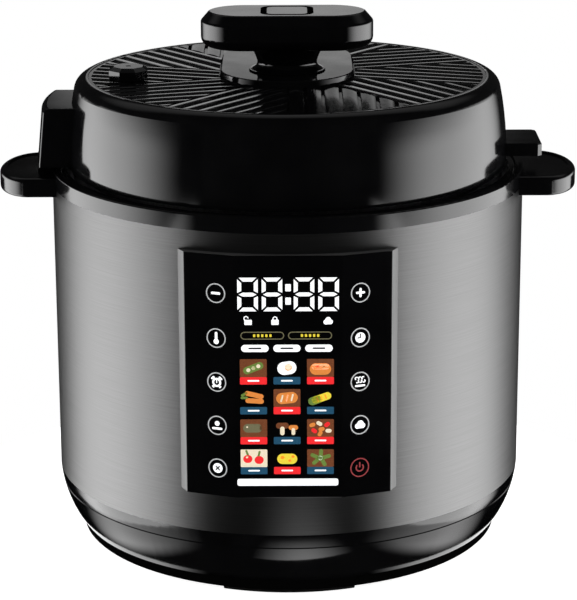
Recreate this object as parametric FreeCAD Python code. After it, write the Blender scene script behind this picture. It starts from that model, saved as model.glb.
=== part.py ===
import FreeCAD, Part
import math
import os

V = FreeCAD.Vector
UP = V(0, 0, 1)

# Electric pressure cooker, millimetres. The origin is the middle of the floor under its feet,
# +Z is up, the control panel faces -Y and the lid's hinge is on the -X side.

# Outer sizes
body_r = 138.0              # steel wrap, outside radius
foot_h = 8.0
skirt_h = 6.0               # bottom cover's rim
bowl_h = 24.2               # base housing
lower_ring_h = 8.2
wrap_h = 172.6
upper_ring_h = 9.2
lid_gap = 0.8               # daylight under the closed lid
lid_h = 51.0                # lid's lower edge to its rib tops
plate_h = 2.8               # centre plate above the rib tops
knob_rise = 13.9            # finger room under the knob's bar
bar_h = 20.4
wall = 3.0                  # moulded walls
sheet = 1.0                 # pressed steel
play = 0.3                  # gap between pieces that move past each other
fit = 0.05                  # radial running clearance of pins and shafts
seam = 0.2                  # gap beside pieces that are fixed in place
bite = 0.5                  # how far solids reach into each other before they are joined
over = 1.0                  # how far cutting solids run past a face
edge = 1.0                  # common small chamfer
soft_edge = 0.8             # chamfer where hands touch
tiny = 1e-3                 # tolerance when edges are picked by height

# Base and feet
skirt_inset = 13.4          # bottom cover's radius, in from the wrap
bowl_foot_inset = 12.3      # base housing's lower edge, in from the wrap
bowl_bulge = 2.6            # how far the bowl swells past a straight cone
bowl_edge = 0.8             # chamfer along the bowl's lower edge
groove = 0.4                # chamfers on both sides of the joint between bowl and lower ring
foot_r = 110.0              # outer radius of the arc that the feet lie on
foot_w = 12.0
foot_half_deg = 20.0
foot_count = 4
foot_edge = 1.2             # chamfer along the feet
cover_t = 2.5               # bottom cover's floor
lap = 2.0                   # step where the base housing reaches into the ring above it
spigot_h = 6.0              # how far the rings reach into the wrap
spigot_t = 2.5
vent_count = 12
vent_r = 38.0               # inner end of the vent slots
vent_l = 34.0
vent_w = 4.0
base_screw_r = 1.6
screw_head_t = 1.4
head_sink = 1.0             # recess under the base screws' heads
head_proud = 0.8            # base screws' heads below the cover
boss_r = 4.5
boss_inset = 18.5           # screw bosses' circle, in from the wrap

# Handles
handle_reach = 31.0         # past the wrap
handle_half_w = 36.5
handle_h = 11.0
handle_drop = 2.2           # handle's top below the ring's top
handle_nose = 20.0          # length of the rounded end
handle_rim = 4.0            # rim left around the dished top
handle_top_round = 2.5
handle_low_round = 1.5
handle_dish = 0.8
handle_root = 20.0          # where the handle's drawing starts, in from the wrap
handle_screw_r = 1.9
handle_screw_y = 18.0
handle_screw_head_r = 3.6
handle_screw_l = 13.5
handle_screw_sink = 2.0     # seat of the heads, out from the rim's land

# Rim, lock and pots
rim_w = 4.4                 # upper ring's visible land
trim_w = 4.6                # inner trim ring's visible land
trim_step = 0.8             # trim ring below the land
flange_t = 3.0              # bayonet flange
flange_drop = 5.2           # bayonet flange's top below the rim
flange_seat = 2.4           # bayonet flange's edge, in from the land
lug_count = 6
lug_deg = 24.0
lug_grip = 5.5              # overlap of a locked lug
lug_gap = 1.0               # above and beside the lugs
lug_t = 3.0
skirt_t = 2.0               # lock ring's skirt
pot_rim_drop = 0.5          # inner pot's rim below the tops of the lock lugs
pot_rim_w = 5.0
pot_rim_t = 2.0
pot_t = 2.0
pot_corner = 12.0           # radius under the pot's wall
chamber_gap = 3.0           # between the inner pot and the heating chamber
heater_r = 80.0
heater_t = 8.0
heater_foot_h = 3.0
heater_foot_in = 14.0       # heater's ring foot, in from its edge
heater_foot_w = 6.0
heater_slope = 2.0
chamber_z = 54.0            # underside of the heating chamber
sensor_r = 14.0
sensor_t = 4.7
sensor_stem_r = 5.0
sensor_travel = 2.0
sensor_spring_flat_h = 5.0  # sensor spring when pressed down
sensor_spring_r = 10.0
sensor_hole_gap = 4.0       # chamber's hole round the sensor
bracket_t = 2.0
bracket_flange = 12.0
guide_l = 8.0               # bracket's guide round the sensor's stem
spring_wire_r = 0.7
spring_turns = 3
terminal_r = 3.0
terminal_gap = 2.0
terminal_circle_r = 60.0

# Control panel
panel_half_w = 56.5         # glass, side facets included
panel_flat_half_w = 29.3    # flat middle facet
panel_proud = 4.0           # middle facet in front of the wrap
panel_fall_d = 9.5          # how far the side facets fall back
panel_h = 137.6
panel_top_drop = 11.0       # panel's top below the wrap's top
glass_t = 1.6
bezel_w = 3.3               # silver flank beside the glass, where it meets the wrap
bezel_rim = 3.0             # thickness of the bezel's walls
window_margin = 9.0         # wrap's window, in from the bezel
board_t = 1.6
board_gap = 1.0             # display board behind the glass

# Power board in the base
power_board_y = -62.0
power_board_half_w = 50.0
power_board_half_d = 24.0
board_post_x = 40.0
board_post_y = 16.0         # posts in front of and behind the board's middle
board_blocks = [(-34, -14, -74, -52, 15), (0, 16, -80, -66, 12)]   # X, X, Y, Y and height
board_cans = [(28, -52, 7, 14), (8, -50, 5, 12)]                   # X, Y, radius and height

# Lid
lid_inset = 9.8             # lid's lower edge, in from the wrap
lid_lean = 4.2              # how far the lid's wall leans in
lid_bow = 0.2               # share of the lean at half the wall's height
lid_shoulder_w = 8.2
lid_shoulder_h = 6.0
disc_recess = 3.0           # depth of the seat for the ribbed disc
disc_t = 1.2
rib_h = 1.8
rib_crown = 0.4             # rise of a rib's rounded top
rib_draft = 0.4             # how far a rib's sides lean in
rib_pitch = 10.0
rib_w = 8.6
rib_sectors = 10
disc_rim_w = 1.8
plate_half_w = 39.4
plate_back = 45.0           # centre of the plate's rear end
plate_draft = 0.8           # how far the plate's wall leans in
plate_edge = 0.5
post_r = 6.0
post_circle_r = 70.0
post_first_deg = 65.0
post_count = 4
lid_plate_t = 2.0
dish_drop = 5.0             # fall of the pressure lid's shoulder
dish_slope_w = 11.0
dish_t = 1.5                # pressure lid's rim
dish_flat_step = 0.6        # flat underside, in from the flat top
gasket_w = 6.7
gasket_h = 6.8
gasket_lip = 2.3
gasket_ring_t = 1.5
gasket_stud_r = 1.2
gasket_stud_deg = 30.0

# Hinge and lifting ear
tower_w = 58.0
tower_reach = 8.2           # tower's foot past the wrap
tower_lean = 3.4
tower_h = 34.5
tower_lift = 2.0            # tower's foot above the lid's lower edge
tower_round = 3.0           # rounding along the tower's top
tower_bevel = 1.2           # rounding of the tower's upright edges
hinge_out = 3.5             # hinge axis past the wrap
hinge_up = 6.8              # hinge axis above the rim
hinge_pin_r = 2.0
knuckle_r = 4.2
knuckle_half_l = 12.0       # handle's knuckle in the tower's pocket
ear_w = 40.0
ear_reach = 9.6             # lifting ear past the wrap
ear_h = 7.3
ear_lift = 5.8              # ear's underside above the lid's lower edge
ear_bevel = 2.4             # cut corners of the ear, as seen from above

# Knob, release button and valve
bar_half_l = 50.0
bar_half_w = 25.0
bar_chamfer = 4.7
bar_chamfer_h = 5.4
bar_round = 6.0             # rounding under the bar
bar_soft = 0.9              # length of the roundings beside the bar's chamfer
neck_r = 17.3
neck_flare = 4.7            # neck's spread where it meets the bar
neck_bow = 0.8              # how far the neck's outline sags in under a straight line
collar_r = 22.2
collar_h = 0.6
collar_round = 4.0          # hollow rounding above the collar
cap_t = 2.0                 # knob's top cover
cap_rim = 1.0               # grip's edge left round the cover
shaft_r = 9.0
rod_r = 2.5
bearing_len = 15.0
button_half_x = 12.4
button_half_y = 13.6
button_groove = 2.9
button_round = 5.0
button_t = 8.0
button_travel = 2.5
button_spring_flat_h = 3.5  # button spring when pressed down
button_spring_r = 6.5
lever_r = 46.0              # lever's pivot, from the axis
lever_t = 3.0
lever_w = 8.0
lever_rise = 4.0            # lever's underside above the pressure lid
lever_gap = 0.5
lever_pin_r = 1.5
lever_foot_t = 0.8
tine_w = 4.0
tine_gap = 1.0              # between the lever's fork and the exhaust pipe
fork_root = 2.0             # fork's root in front of the pipe
pad_half_l = 2.5
pad_h = 1.0
valve_gap = 0.8             # between the pipe's shield and the gasket's ring
valve_deg = 189.0
valve_cap_r = 11.0
valve_cap_h = 7.0
valve_stem_r = 9.0
valve_bevel_h = 2.0
valve_bevel_w = 3.0
valve_vent_r = 1.6
valve_vent_d = 3.0
pipe_r = 6.0
pipe_bore = 3.0
nut_w = 3.5
shield_t = 2.0
shield_h = 8.0
shield_floor_t = 1.5
shield_slot_w = 1.6
shield_slot_h = 4.0
shield_slots = 6
spider_rise = 10.0          # lock ring's arms above the pressure lid
arm_w = 24.0
arm_t = 3.0
hub_r = 22.0
hub_h = 8.0
float_r = 55.0
float_deg = 215.0
float_pin_r = 4.0
float_travel = 3.5
float_head = 2.5            # lower head, past the pin's radius
float_head_t = 2.0
float_stop = 1.5            # upper collar, past the pin's radius
float_stop_t = 1.2

# Mains inlet at the back
inlet_half_w = 17.0
inlet_h = 24.0
inlet_z = 56.0
inlet_depth = 14.0
inlet_proud = 4.0           # inlet's face past the wrap
socket_half_w = 12.5
socket_h = 17.0
pin_w = 2.0
pin_h = 4.0
pin_l = 11.0
pin_pitch = 7.0

# Heights
z_cover = foot_h
z_bowl = z_cover + skirt_h
z_lower_ring = z_bowl + bowl_h
z_wrap = z_lower_ring + lower_ring_h
z_upper_ring = z_wrap + wrap_h
z_rim = z_upper_ring + upper_ring_h
z_lid = z_rim + lid_gap
z_ribs = z_lid + lid_h
z_seat = z_ribs - disc_recess
z_plate = z_ribs + plate_h
z_bar = z_plate + knob_rise
z_top = z_bar + bar_h
z_flange = z_rim - flange_drop - flange_t
z_lug = z_flange - lug_gap - lug_t
z_chamber = chamber_z + sheet
z_heater = z_chamber + heater_foot_h + heater_t
z_pot_rim = z_lug + lug_t - pot_rim_drop
z_gasket = z_pot_rim + play
z_dish_rim = z_gasket + gasket_h + seam
z_lid_plate = z_dish_rim + dish_drop - edge + lid_plate_t
z_spider = z_lid_plate + spider_rise
z_lever = z_lid_plate + lever_rise
z_handle = z_rim - handle_drop - handle_h
z_panel = z_upper_ring - panel_top_drop - panel_h
z_hinge = z_rim + hinge_up
z_shaft_top = z_bar + bar_h / 4
z_cover_floor = z_cover + cover_t
z_power_board = z_cover_floor + boss_r
z_handle_screw = (z_upper_ring + z_handle + handle_h) / 2
z_socket = inlet_z + (inlet_h - socket_h) / 2
z_sensor = z_heater - play
sensor_spring_h = sensor_spring_flat_h + sensor_travel
z_sensor_seat = z_sensor - sensor_t - sensor_spring_h
z_pocket = z_top - button_t - button_travel - button_spring_flat_h

# Radii
r_skirt = body_r - skirt_inset
r_land = body_r - rim_w
r_trim = r_land - trim_w
r_flange = r_land - flange_seat
r_gap = r_trim - wall
r_lug = r_gap - lug_gap
r_flange_lug = r_lug - lug_grip
r_lock_skirt = r_flange_lug - 1.5 * lug_gap
r_pot_rim = r_lock_skirt - skirt_t - 2 * lug_gap
r_pot = r_pot_rim - pot_rim_w + pot_t
r_chamber = r_pot + chamber_gap
r_lid = body_r - lid_inset
r_disc = r_lid - lid_lean - lid_shoulder_w - seam
r_dish = r_lock_skirt - skirt_t - 2 * play
r_dish_in = r_dish - dish_t
r_dish_flat = r_dish - dish_slope_w
r_gasket_stud = r_dish_flat - dish_flat_step - gasket_stud_r
r_gasket_ring = r_gasket_stud - gasket_stud_r
r_shield = pipe_r + shield_t
wrap_in = body_r - sheet - fit

# Places
x_hinge = -(body_r + hinge_out)
y_panel = -(body_r + panel_proud)
y_inlet = body_r + inlet_proud
valve_r = r_gasket_ring - r_shield - valve_gap
lock_turn_deg = 180.0 / lug_count
valve_x = valve_r * math.cos(math.radians(valve_deg))
valve_y = valve_r * math.sin(math.radians(valve_deg))
float_x = float_r * math.cos(math.radians(float_deg))
float_y = float_r * math.sin(math.radians(float_deg))


def path(start, steps, place):
    """A closed wire from a start point; a step is a point, or an arc's middle and end points."""
    edges = []
    here = place(start)
    for step in list(steps) + [start]:
        curved = isinstance(step[0], tuple)
        there = place(step[1] if curved else step)
        if curved:
            edges.append(Part.Arc(here, place(step[0]), there).toShape())
        elif (there - here).Length > tiny:
            edges.append(Part.makeLine(here, there))
        here = there
    return Part.Wire(edges)


def rounded(before, corner, after, leg):
    """Two steps of a path that round off a corner, touching both sides at a leg's length from it."""
    def toward(p):
        away = math.hypot(p[0] - corner[0], p[1] - corner[1])
        return [corner[i] + (p[i] - corner[i]) * leg / away for i in (0, 1)]

    start, end = toward(before), toward(after)
    chord = [(start[i] + end[i]) / 2 for i in (0, 1)]
    rise = math.hypot(corner[0] - chord[0], corner[1] - chord[1])
    half = math.hypot(end[0] - start[0], end[1] - start[1]) / 2
    share = half * math.tan(math.atan2(rise, half) / 2) / rise
    mid = [chord[i] + (corner[i] - chord[i]) * share for i in (0, 1)]
    return [tuple(start), (tuple(mid), tuple(end))]


def turned_on_axis(start, *steps):
    """A solid of revolution about Z from a radius and height outline."""
    wire = path(start, steps, lambda p: V(p[0], 0, p[1]))
    return Part.Face(wire).revolve(V(0, 0, 0), UP, 360)


def prism(z0, z1, start, *steps):
    """A plan outline raised from one height to another."""
    wire = path(start, steps, lambda p: V(p[0], p[1], z0))
    return Part.Face(wire).extrude(V(0, 0, z1 - z0))


def cross_prism(y0, y1, start, *steps):
    """An outline in X and Z, drawn out along Y."""
    wire = path(start, steps, lambda p: V(p[0], y0, p[1]))
    return Part.Face(wire).extrude(V(0, y1 - y0, 0))


def cylinder(r, z0, z1, x=0.0, y=0.0):
    return Part.makeCylinder(r, z1 - z0, V(x, y, z0))


def tube(r_out, r_in, z0, z1, x=0.0, y=0.0):
    return cylinder(r_out, z0, z1, x, y).cut(cylinder(r_in, z0 - 1, z1 + 1, x, y))


def block(x0, x1, y0, y1, z0, z1):
    return Part.makeBox(x1 - x0, y1 - y0, z1 - z0, V(x0, y0, z0))


def about_z(shape, degrees):
    copy = shape.copy()
    copy.rotate(V(0, 0, 0), UP, degrees)
    return copy


def around(shape, count, first=0.0):
    """Copies of a shape spread evenly about the axis."""
    return [about_z(shape, first + 360.0 * k / count) for k in range(count)]


def joined(first, *others):
    return first.multiFuse(list(others)).removeSplitter()


def less(shape, *tools):
    return shape.cut(list(tools))


def mirrored_x(shape):
    return shape.mirror(V(0, 0, 0), V(1, 0, 0))


def polar(r, degrees):
    return (r * math.cos(math.radians(degrees)), r * math.sin(math.radians(degrees)))


def rounded_block(half_x, half_y, radius, z0, z1):
    """A block with rounded upright edges, centred on the axis."""
    s = radius * (1 - math.sqrt(0.5))
    x, y, r = half_x, half_y, radius
    return prism(z0, z1, (x, -y + r), (x, y - r), ((x - s, y - s), (x - r, y)), (-x + r, y),
                 ((-x + s, y - s), (-x, y - r)), (-x, -y + r), ((-x + s, -y + s), (-x + r, -y)),
                 (x - r, -y), ((x - s, -y + s), (x, -y + r)))


def tangent_arc(start, corner, end):
    """The arc that touches both legs of a corner with legs of one length."""
    middle = (start + end) * 0.5
    rise = corner - middle
    half_chord = (end - start).Length / 2
    sag = half_chord * math.tan(math.atan2(rise.Length, half_chord) / 2)
    return Part.Arc(start, middle + rise * (sag / rise.Length), end).toShape()


def bent_wire(arc, wire_r):
    """A round wire bent along an arc."""
    first, last = arc.ParameterRange
    ring = Part.Wire(Part.makeCircle(wire_r, arc.valueAt(first), arc.tangentAt(first)))
    return Part.Face(ring).revolve(arc.Curve.Center, arc.Curve.Axis, math.degrees(last - first))


def coil(radius, wire_r, z0, z1, turns):
    """A compression spring along a helix, each quarter turn of it as two arcs that meet smoothly."""
    quarters = 4 * turns
    climb = (z1 - z0) / (2 * math.pi * turns)

    def place(k):
        angle = math.pi / 2 * k
        return V(radius * math.cos(angle), radius * math.sin(angle), z0 + climb * angle)

    def heading(k):
        angle = math.pi / 2 * k
        return V(-radius * math.sin(angle), radius * math.cos(angle), climb).normalize()

    arcs = []
    for k in range(quarters):
        span = place(k + 1) - place(k)
        both = heading(k) + heading(k + 1)
        spread = 2 * (1 - heading(k).dot(heading(k + 1)))
        along = span.dot(both)
        leg = (math.sqrt(along ** 2 + spread * span.dot(span)) - along) / spread
        first, second = place(k) + heading(k) * leg, place(k + 1) - heading(k + 1) * leg
        meet = (first + second) * 0.5
        arcs += [tangent_arc(place(k), first, meet), tangent_arc(meet, second, place(k + 1))]
    return joined(*[bent_wire(arc, wire_r) for arc in arcs])


# Base pieces

def bowl_arc():
    low = (body_r - bowl_foot_inset, z_bowl)
    high = (body_r, z_wrap)
    mid = ((low[0] + high[0]) / 2 + bowl_bulge, (low[1] + high[1]) / 2)
    return low, mid, high


def bowl_outline_r(z):
    """Outside radius of the bowl between its lower edge and the wrap, on one arc."""
    low, mid, high = bowl_arc()
    circle = Part.Circle(V(low[0], low[1], 0), V(mid[0], mid[1], 0), V(high[0], high[1], 0))
    return circle.Center.x + math.sqrt(circle.Radius ** 2 - (z - circle.Center.y) ** 2)


def bowl_point(z, inset=0.0):
    return (bowl_outline_r(z) - inset, z)


def feet():
    r0, r1 = foot_r - foot_w, foot_r
    wire = path((r0, foot_h), [(r1, foot_h), (r1, foot_edge), (r1 - foot_edge, 0), (r0 + foot_edge, 0),
                               (r0, foot_edge)], lambda p: V(p[0], 0, p[1]))
    foot = Part.Face(wire).revolve(V(0, 0, 0), UP, 2 * foot_half_deg)
    return Part.makeCompound(around(foot, foot_count, -90 - foot_half_deg))


def base_screw_places():
    """Screws between the feet."""
    turn = 360.0 / foot_count
    return [polar(body_r - boss_inset, turn * (k + 0.5)) for k in range(foot_count)]


def bottom_cover():
    floor = z_cover_floor
    dish = turned_on_axis((0, z_cover), (r_skirt - edge, z_cover), (r_skirt, z_cover + edge),
                          (r_skirt, z_bowl), (r_skirt - wall, z_bowl), (r_skirt - wall, floor), (0, floor))
    slot = block(vent_r, vent_r + vent_l, -vent_w / 2, vent_w / 2, z_cover - over, floor + over)
    posts = [tube(wall, base_screw_r, floor - bite, z_power_board, x, y) for x, y in board_posts()]
    holes = []
    for x, y in base_screw_places():
        holes.append(cylinder(base_screw_r + fit, z_cover - over, floor + over, x, y))
        holes.append(cylinder(2 * base_screw_r, z_cover - over, z_cover + head_sink, x, y))
    return less(joined(dish, *posts), *around(slot, vent_count), *holes)


def base_housing():
    top = z_lower_ring
    mid = (z_bowl + top) / 2
    neck = bowl_outline_r(top) - lap
    shell = turned_on_axis(bowl_point(z_bowl, bowl_edge), bowl_point(z_bowl + bowl_edge),
                           (bowl_point(mid), bowl_point(top - groove)), bowl_point(top, groove), (neck, top),
                           (neck, top + wall), (neck - wall, top + wall), (neck - wall, top),
                           (bowl_point(mid, wall), bowl_point(z_bowl, wall)))
    inside = turned_on_axis((0, z_bowl), bowl_point(z_bowl, wall / 2), bowl_point(top, wall / 2), (0, top))
    bosses = [cylinder(boss_r, z_bowl, top - wall, x, y).common(inside) for x, y in base_screw_places()]
    pilots = [cylinder(base_screw_r + fit, z_bowl - over, top - 2 * wall, x, y)
              for x, y in base_screw_places()]
    return less(joined(shell, *bosses), *pilots)


def base_screws():
    screws = []
    for x, y in base_screw_places():
        shank = cylinder(base_screw_r, z_cover, z_cover + bowl_h - wall, x, y)
        head = cylinder(2 * base_screw_r - 2 * fit, z_cover - head_proud, z_cover + head_sink, x, y)
        screws.append(joined(head, shank))
    return Part.makeCompound(screws)


def lower_ring():
    inner = bowl_outline_r(z_lower_ring) - lap + seam
    mid = (z_lower_ring + z_wrap) / 2
    return turned_on_axis((inner, z_lower_ring), bowl_point(z_lower_ring, groove),
                          bowl_point(z_lower_ring + groove),
                          (bowl_point(mid), (body_r, z_wrap)), (wrap_in, z_wrap),
                          (wrap_in, z_wrap + spigot_h), (wrap_in - spigot_t, z_wrap + spigot_h),
                          (wrap_in - spigot_t, z_wrap), (inner, z_wrap - 2 * spigot_t))


def steel_wrap():
    shell = tube(body_r, body_r - sheet, z_wrap, z_upper_ring)
    half = panel_half_w - window_margin
    window = block(-half, half, -body_r - over, 0, z_panel + window_margin,
                   z_panel + panel_h - window_margin)
    inlet = block(-inlet_half_w, inlet_half_w, 0, body_r + over, inlet_z, inlet_z + inlet_h)
    return less(shell, window, inlet)


def upper_ring():
    s = edge * (1 - math.sqrt(0.5))
    ledge = z_flange - sheet
    ring = turned_on_axis((body_r, z_upper_ring), (body_r, z_rim - edge),
                          ((body_r - s, z_rim - s), (body_r - edge, z_rim)), (r_land, z_rim),
                          (r_land, z_flange + flange_t), (r_flange + seam, z_flange + flange_t),
                          (r_flange + seam, ledge), (r_trim - seam, ledge), (r_trim - seam, ledge - wall),
                          (wrap_in - spigot_t, ledge - wall), (wrap_in - spigot_t, z_upper_ring - spigot_h),
                          (wrap_in, z_upper_ring - spigot_h), (wrap_in, z_upper_ring))
    cuts = []
    for side, y, seat in handle_screw_places():
        cuts.append(screw_solid(handle_screw_r + fit, side, y, seat - over, seat + handle_screw_l))
        cuts.append(screw_solid(handle_screw_head_r, side, y, seat - 5 * handle_screw_sink, seat))
    return less(ring, *cuts)


def rim_trim():
    z0 = z_flange + flange_t
    z1 = z_rim - trim_step
    return turned_on_axis((r_trim, z0), (r_land - seam, z0), (r_land - seam, z1 - 2 * seam),
                          (r_land - 3 * seam, z1), (r_trim + 3 * seam, z1), (r_trim, z1 - 3 * seam))


# Handles

def handle_screw_places():
    """Side, Y and the seat of the head of each radial screw from the upper ring into a handle."""
    seat = math.sqrt(r_land ** 2 - handle_screw_y ** 2) + handle_screw_sink
    return [(side, y, seat) for side in (1, -1) for y in (-handle_screw_y, handle_screw_y)]


def screw_solid(radius, side, y, x0, x1):
    return Part.makeCylinder(radius, x1 - x0, V(side * x0, y, z_handle_screw), V(side, 0, 0))


def handle_screws():
    screws = []
    for side, y, seat in handle_screw_places():
        shank = screw_solid(handle_screw_r - 2 * fit, side, y, seat - screw_head_t, seat + handle_screw_l)
        head = screw_solid(handle_screw_head_r - seam, side, y, seat - screw_head_t, seat)
        screws.append(joined(shank, head))
    return Part.makeCompound(screws)


def handle_outline(inset, z0, z1):
    """A tongue with a half-oval end, as seen from above, narrowed by an inset."""
    half_w = handle_half_w - inset
    tip = body_r + handle_reach - inset
    middle = body_r + handle_reach - handle_nose
    root = body_r - handle_root
    oval = Part.Ellipse(V(middle, half_w, z0), V(tip, 0, z0), V(middle, 0, z0))
    end = Part.ArcOfEllipse(oval, 0, math.pi).toShape()
    p0, p1 = end.valueAt(end.FirstParameter), end.valueAt(end.LastParameter)
    c0, c1 = V(root, p0.y, z0), V(root, p1.y, z0)
    wire = Part.Wire([end, Part.makeLine(p1, c1), Part.makeLine(c1, c0), Part.makeLine(c0, p0)])
    return Part.Face(wire).extrude(V(0, 0, z1 - z0))


def at_height(line, z):
    return abs(line.BoundBox.ZMin - z) < tiny and line.BoundBox.ZLength < tiny


def plain_handle():
    z0, z1 = z_handle, z_handle + handle_h
    solid = handle_outline(0.0, z0, z1)
    for z, radius in ((z1, handle_top_round), (z0, handle_low_round)):
        outer = [line for line in solid.Edges if at_height(line, z) and line.BoundBox.XMax > body_r]
        solid = solid.makeFillet(radius, outer)
    dish = handle_outline(handle_rim, z1 - handle_dish, z1 + over)
    dish = dish.cut(cylinder(body_r + 2 * handle_rim, 0, z_top))
    hollow = handle_outline(wall, z0 - over, z1 - handle_dish - wall)
    hollow = hollow.cut(cylinder(body_r + 4 * wall, 0, z_top))
    ribs = [block(body_r, body_r + handle_reach - wall, y - wall / 3, y + wall / 3, z0 + edge, z1 - wall)
            for y in (-handle_half_w / 3, handle_half_w / 3)]
    return less(solid, cylinder(body_r, 0, z_top), dish, less(hollow, *ribs))


def handle_pilots(wanted):
    return [screw_solid(handle_screw_r - fit, side, y, seat, seat + handle_screw_l + over)
            for side, y, seat in handle_screw_places() if side == wanted]


def right_handle():
    return less(plain_handle(), *handle_pilots(1))


def along_y(radius, x, z, y0, y1):
    """A cylinder lying along Y."""
    return Part.makeCylinder(radius, y1 - y0, V(x, y0, z), V(0, 1, 0))


def left_handle():
    """Handle with the hinge's knuckle, which stands up into the tower."""
    root = z_handle + handle_h - handle_dish - edge
    w = knuckle_half_l
    handle = less(mirrored_x(plain_handle()), *handle_pilots(-1))
    knuckle = along_y(knuckle_r, x_hinge, z_hinge, -w, w)
    web = block(x_hinge - knuckle_r, x_hinge + knuckle_r, -w, w, root, z_hinge)
    web = less(web, cylinder(body_r, 0, z_rim + seam))
    bore = along_y(hinge_pin_r + fit / 2, x_hinge, z_hinge, -2 * w, 2 * w)
    return less(joined(handle, knuckle, web), bore)


def hinge_pin():
    """Pin driven in from behind, pressed into the handle's knuckle."""
    half = tower_w / 2
    return along_y(hinge_pin_r, x_hinge, z_hinge, -half + wall + play, half - play)


# Heating chamber and pots

def outer_pot():
    wall_r = r_chamber + sheet
    lip = r_trim - 2 * seam
    shelf = z_lug - 3 * sheet
    hole = sensor_r + sensor_hole_gap
    pot = turned_on_axis((hole, chamber_z), (wall_r, chamber_z), (wall_r, shelf), (lip, shelf),
                         (lip, z_flange - sheet), (r_flange, z_flange - sheet), (r_flange, z_flange),
                         (lip - sheet, z_flange), (lip - sheet, shelf + sheet), (r_chamber, shelf + sheet),
                         (r_chamber, z_chamber), (hole, z_chamber))
    return less(pot, *[cylinder(terminal_r + terminal_gap, 0, z_heater, x, y) for x, y in terminal_places()])


def wedge(r_in, r_out, z0, z1, half_deg):
    """A ring sector centred on +X."""
    wire = path((r_in, z0), [(r_out, z0), (r_out, z1), (r_in, z1)], lambda p: V(p[0], 0, p[1]))
    return about_z(Part.Face(wire).revolve(V(0, 0, 0), UP, 2 * half_deg), -half_deg)


def bayonet_ring():
    ring = tube(r_flange, r_gap, z_flange, z_flange + flange_t)
    lug = wedge(r_flange_lug, r_gap + bite, z_flange, z_flange + flange_t, lug_deg / 2)
    return joined(ring, *around(lug, lug_count, lock_turn_deg))


def inner_pot():
    z0, c, t = z_heater, pot_corner, pot_t
    s = c * (1 - math.sqrt(0.5))
    d = (c - t) * (1 - math.sqrt(0.5))
    rim = z_pot_rim - pot_rim_t
    return turned_on_axis((0, z0), (r_pot - c, z0), ((r_pot - s, z0 + s), (r_pot, z0 + c)), (r_pot, rim),
                          (r_pot_rim, rim), (r_pot_rim, z_pot_rim), (r_pot - t, z_pot_rim),
                          (r_pot - t, z0 + c), ((r_pot - t - d, z0 + t + d), (r_pot - c, z0 + t)),
                          (0, z0 + t))


def terminal_places():
    return [polar(terminal_circle_r, degrees) for degrees in (60, 120)]


def heater_plate():
    bore = sensor_r + wall
    z0 = z_chamber + heater_foot_h
    foot = heater_r - heater_foot_in
    return turned_on_axis((bore, z0), (foot, z0), (foot, z_chamber), (foot + heater_foot_w, z_chamber),
                          (foot + heater_foot_w, z0), (heater_r, z0 + heater_slope),
                          (heater_r, z_heater - edge), (heater_r - edge, z_heater), (bore, z_heater))


def heater_terminals():
    z0 = z_chamber + heater_foot_h
    return Part.makeCompound([cylinder(terminal_r, chamber_z - 5 * terminal_r, z0, x, y)
                              for x, y in terminal_places()])


def sensor_cap():
    z1 = z_sensor
    z0 = z1 - sensor_t
    cap = turned_on_axis((0, z0), (sensor_r, z0), (sensor_r, z1 - edge), (sensor_r - edge, z1), (0, z1))
    return joined(cap, cylinder(sensor_stem_r, chamber_z - sensor_r, z0 + bite))


def sensor_bracket():
    seat = z_sensor_seat
    bore = sensor_stem_r + fit
    cup = sensor_r + bracket_t / 2
    flange = sensor_r + bracket_flange
    boss = sensor_r - wall
    return turned_on_axis((bore, seat - guide_l), (boss, seat - guide_l), (boss, seat - wall),
                          (cup + bracket_t, seat - wall), (cup + bracket_t, chamber_z - bracket_t),
                          (flange, chamber_z - bracket_t), (flange, chamber_z), (cup, chamber_z),
                          (cup, seat), (bore, seat))


def sensor_spring():
    top = z_sensor - sensor_t - spring_wire_r - play
    return coil(sensor_spring_r, spring_wire_r, z_sensor_seat + spring_wire_r, top, spring_turns)


# Control panel

def facet_y(x, back=0.0):
    """Y of the panel's front at a distance from its middle, moved back by a depth."""
    past = max(abs(x) - panel_flat_half_w, 0.0)
    return y_panel + back + past * panel_fall_d / (panel_half_w - panel_flat_half_w)


def panel_glass():
    """Three flat facets of one thickness."""
    f, w = panel_flat_half_w, panel_half_w
    back = glass_t
    return prism(z_panel, z_panel + panel_h, (-w, facet_y(w)), (-f, facet_y(f)), (f, facet_y(f)),
                 (w, facet_y(w)), (w, facet_y(w, back)), (f, facet_y(f, back)), (-f, facet_y(f, back)),
                 (-w, facet_y(w, back)))


def bezel_prism(inset, z0, z1, depth):
    """Bezel's plan behind the glass, narrowed by an inset."""
    f = panel_flat_half_w
    w = panel_half_w - inset
    foot = panel_half_w + bezel_w - inset
    y_foot = -math.sqrt(body_r ** 2 - foot ** 2)
    return prism(z0, z1, (-w, facet_y(w, depth)), (-f, facet_y(f, depth)), (f, facet_y(f, depth)),
                 (w, facet_y(w, depth)), (foot, y_foot), (foot, -body_r / 2), (-foot, -body_r / 2),
                 (-foot, y_foot))


def panel_bezel():
    z0, z1 = z_panel, z_panel + panel_h
    solid = bezel_prism(0.0, z0, z1, glass_t)
    hollow = bezel_prism(bezel_rim, z0 + bezel_rim, z1 - bezel_rim, -glass_t)
    return less(solid, hollow, cylinder(body_r, 0, z_top))


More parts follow.
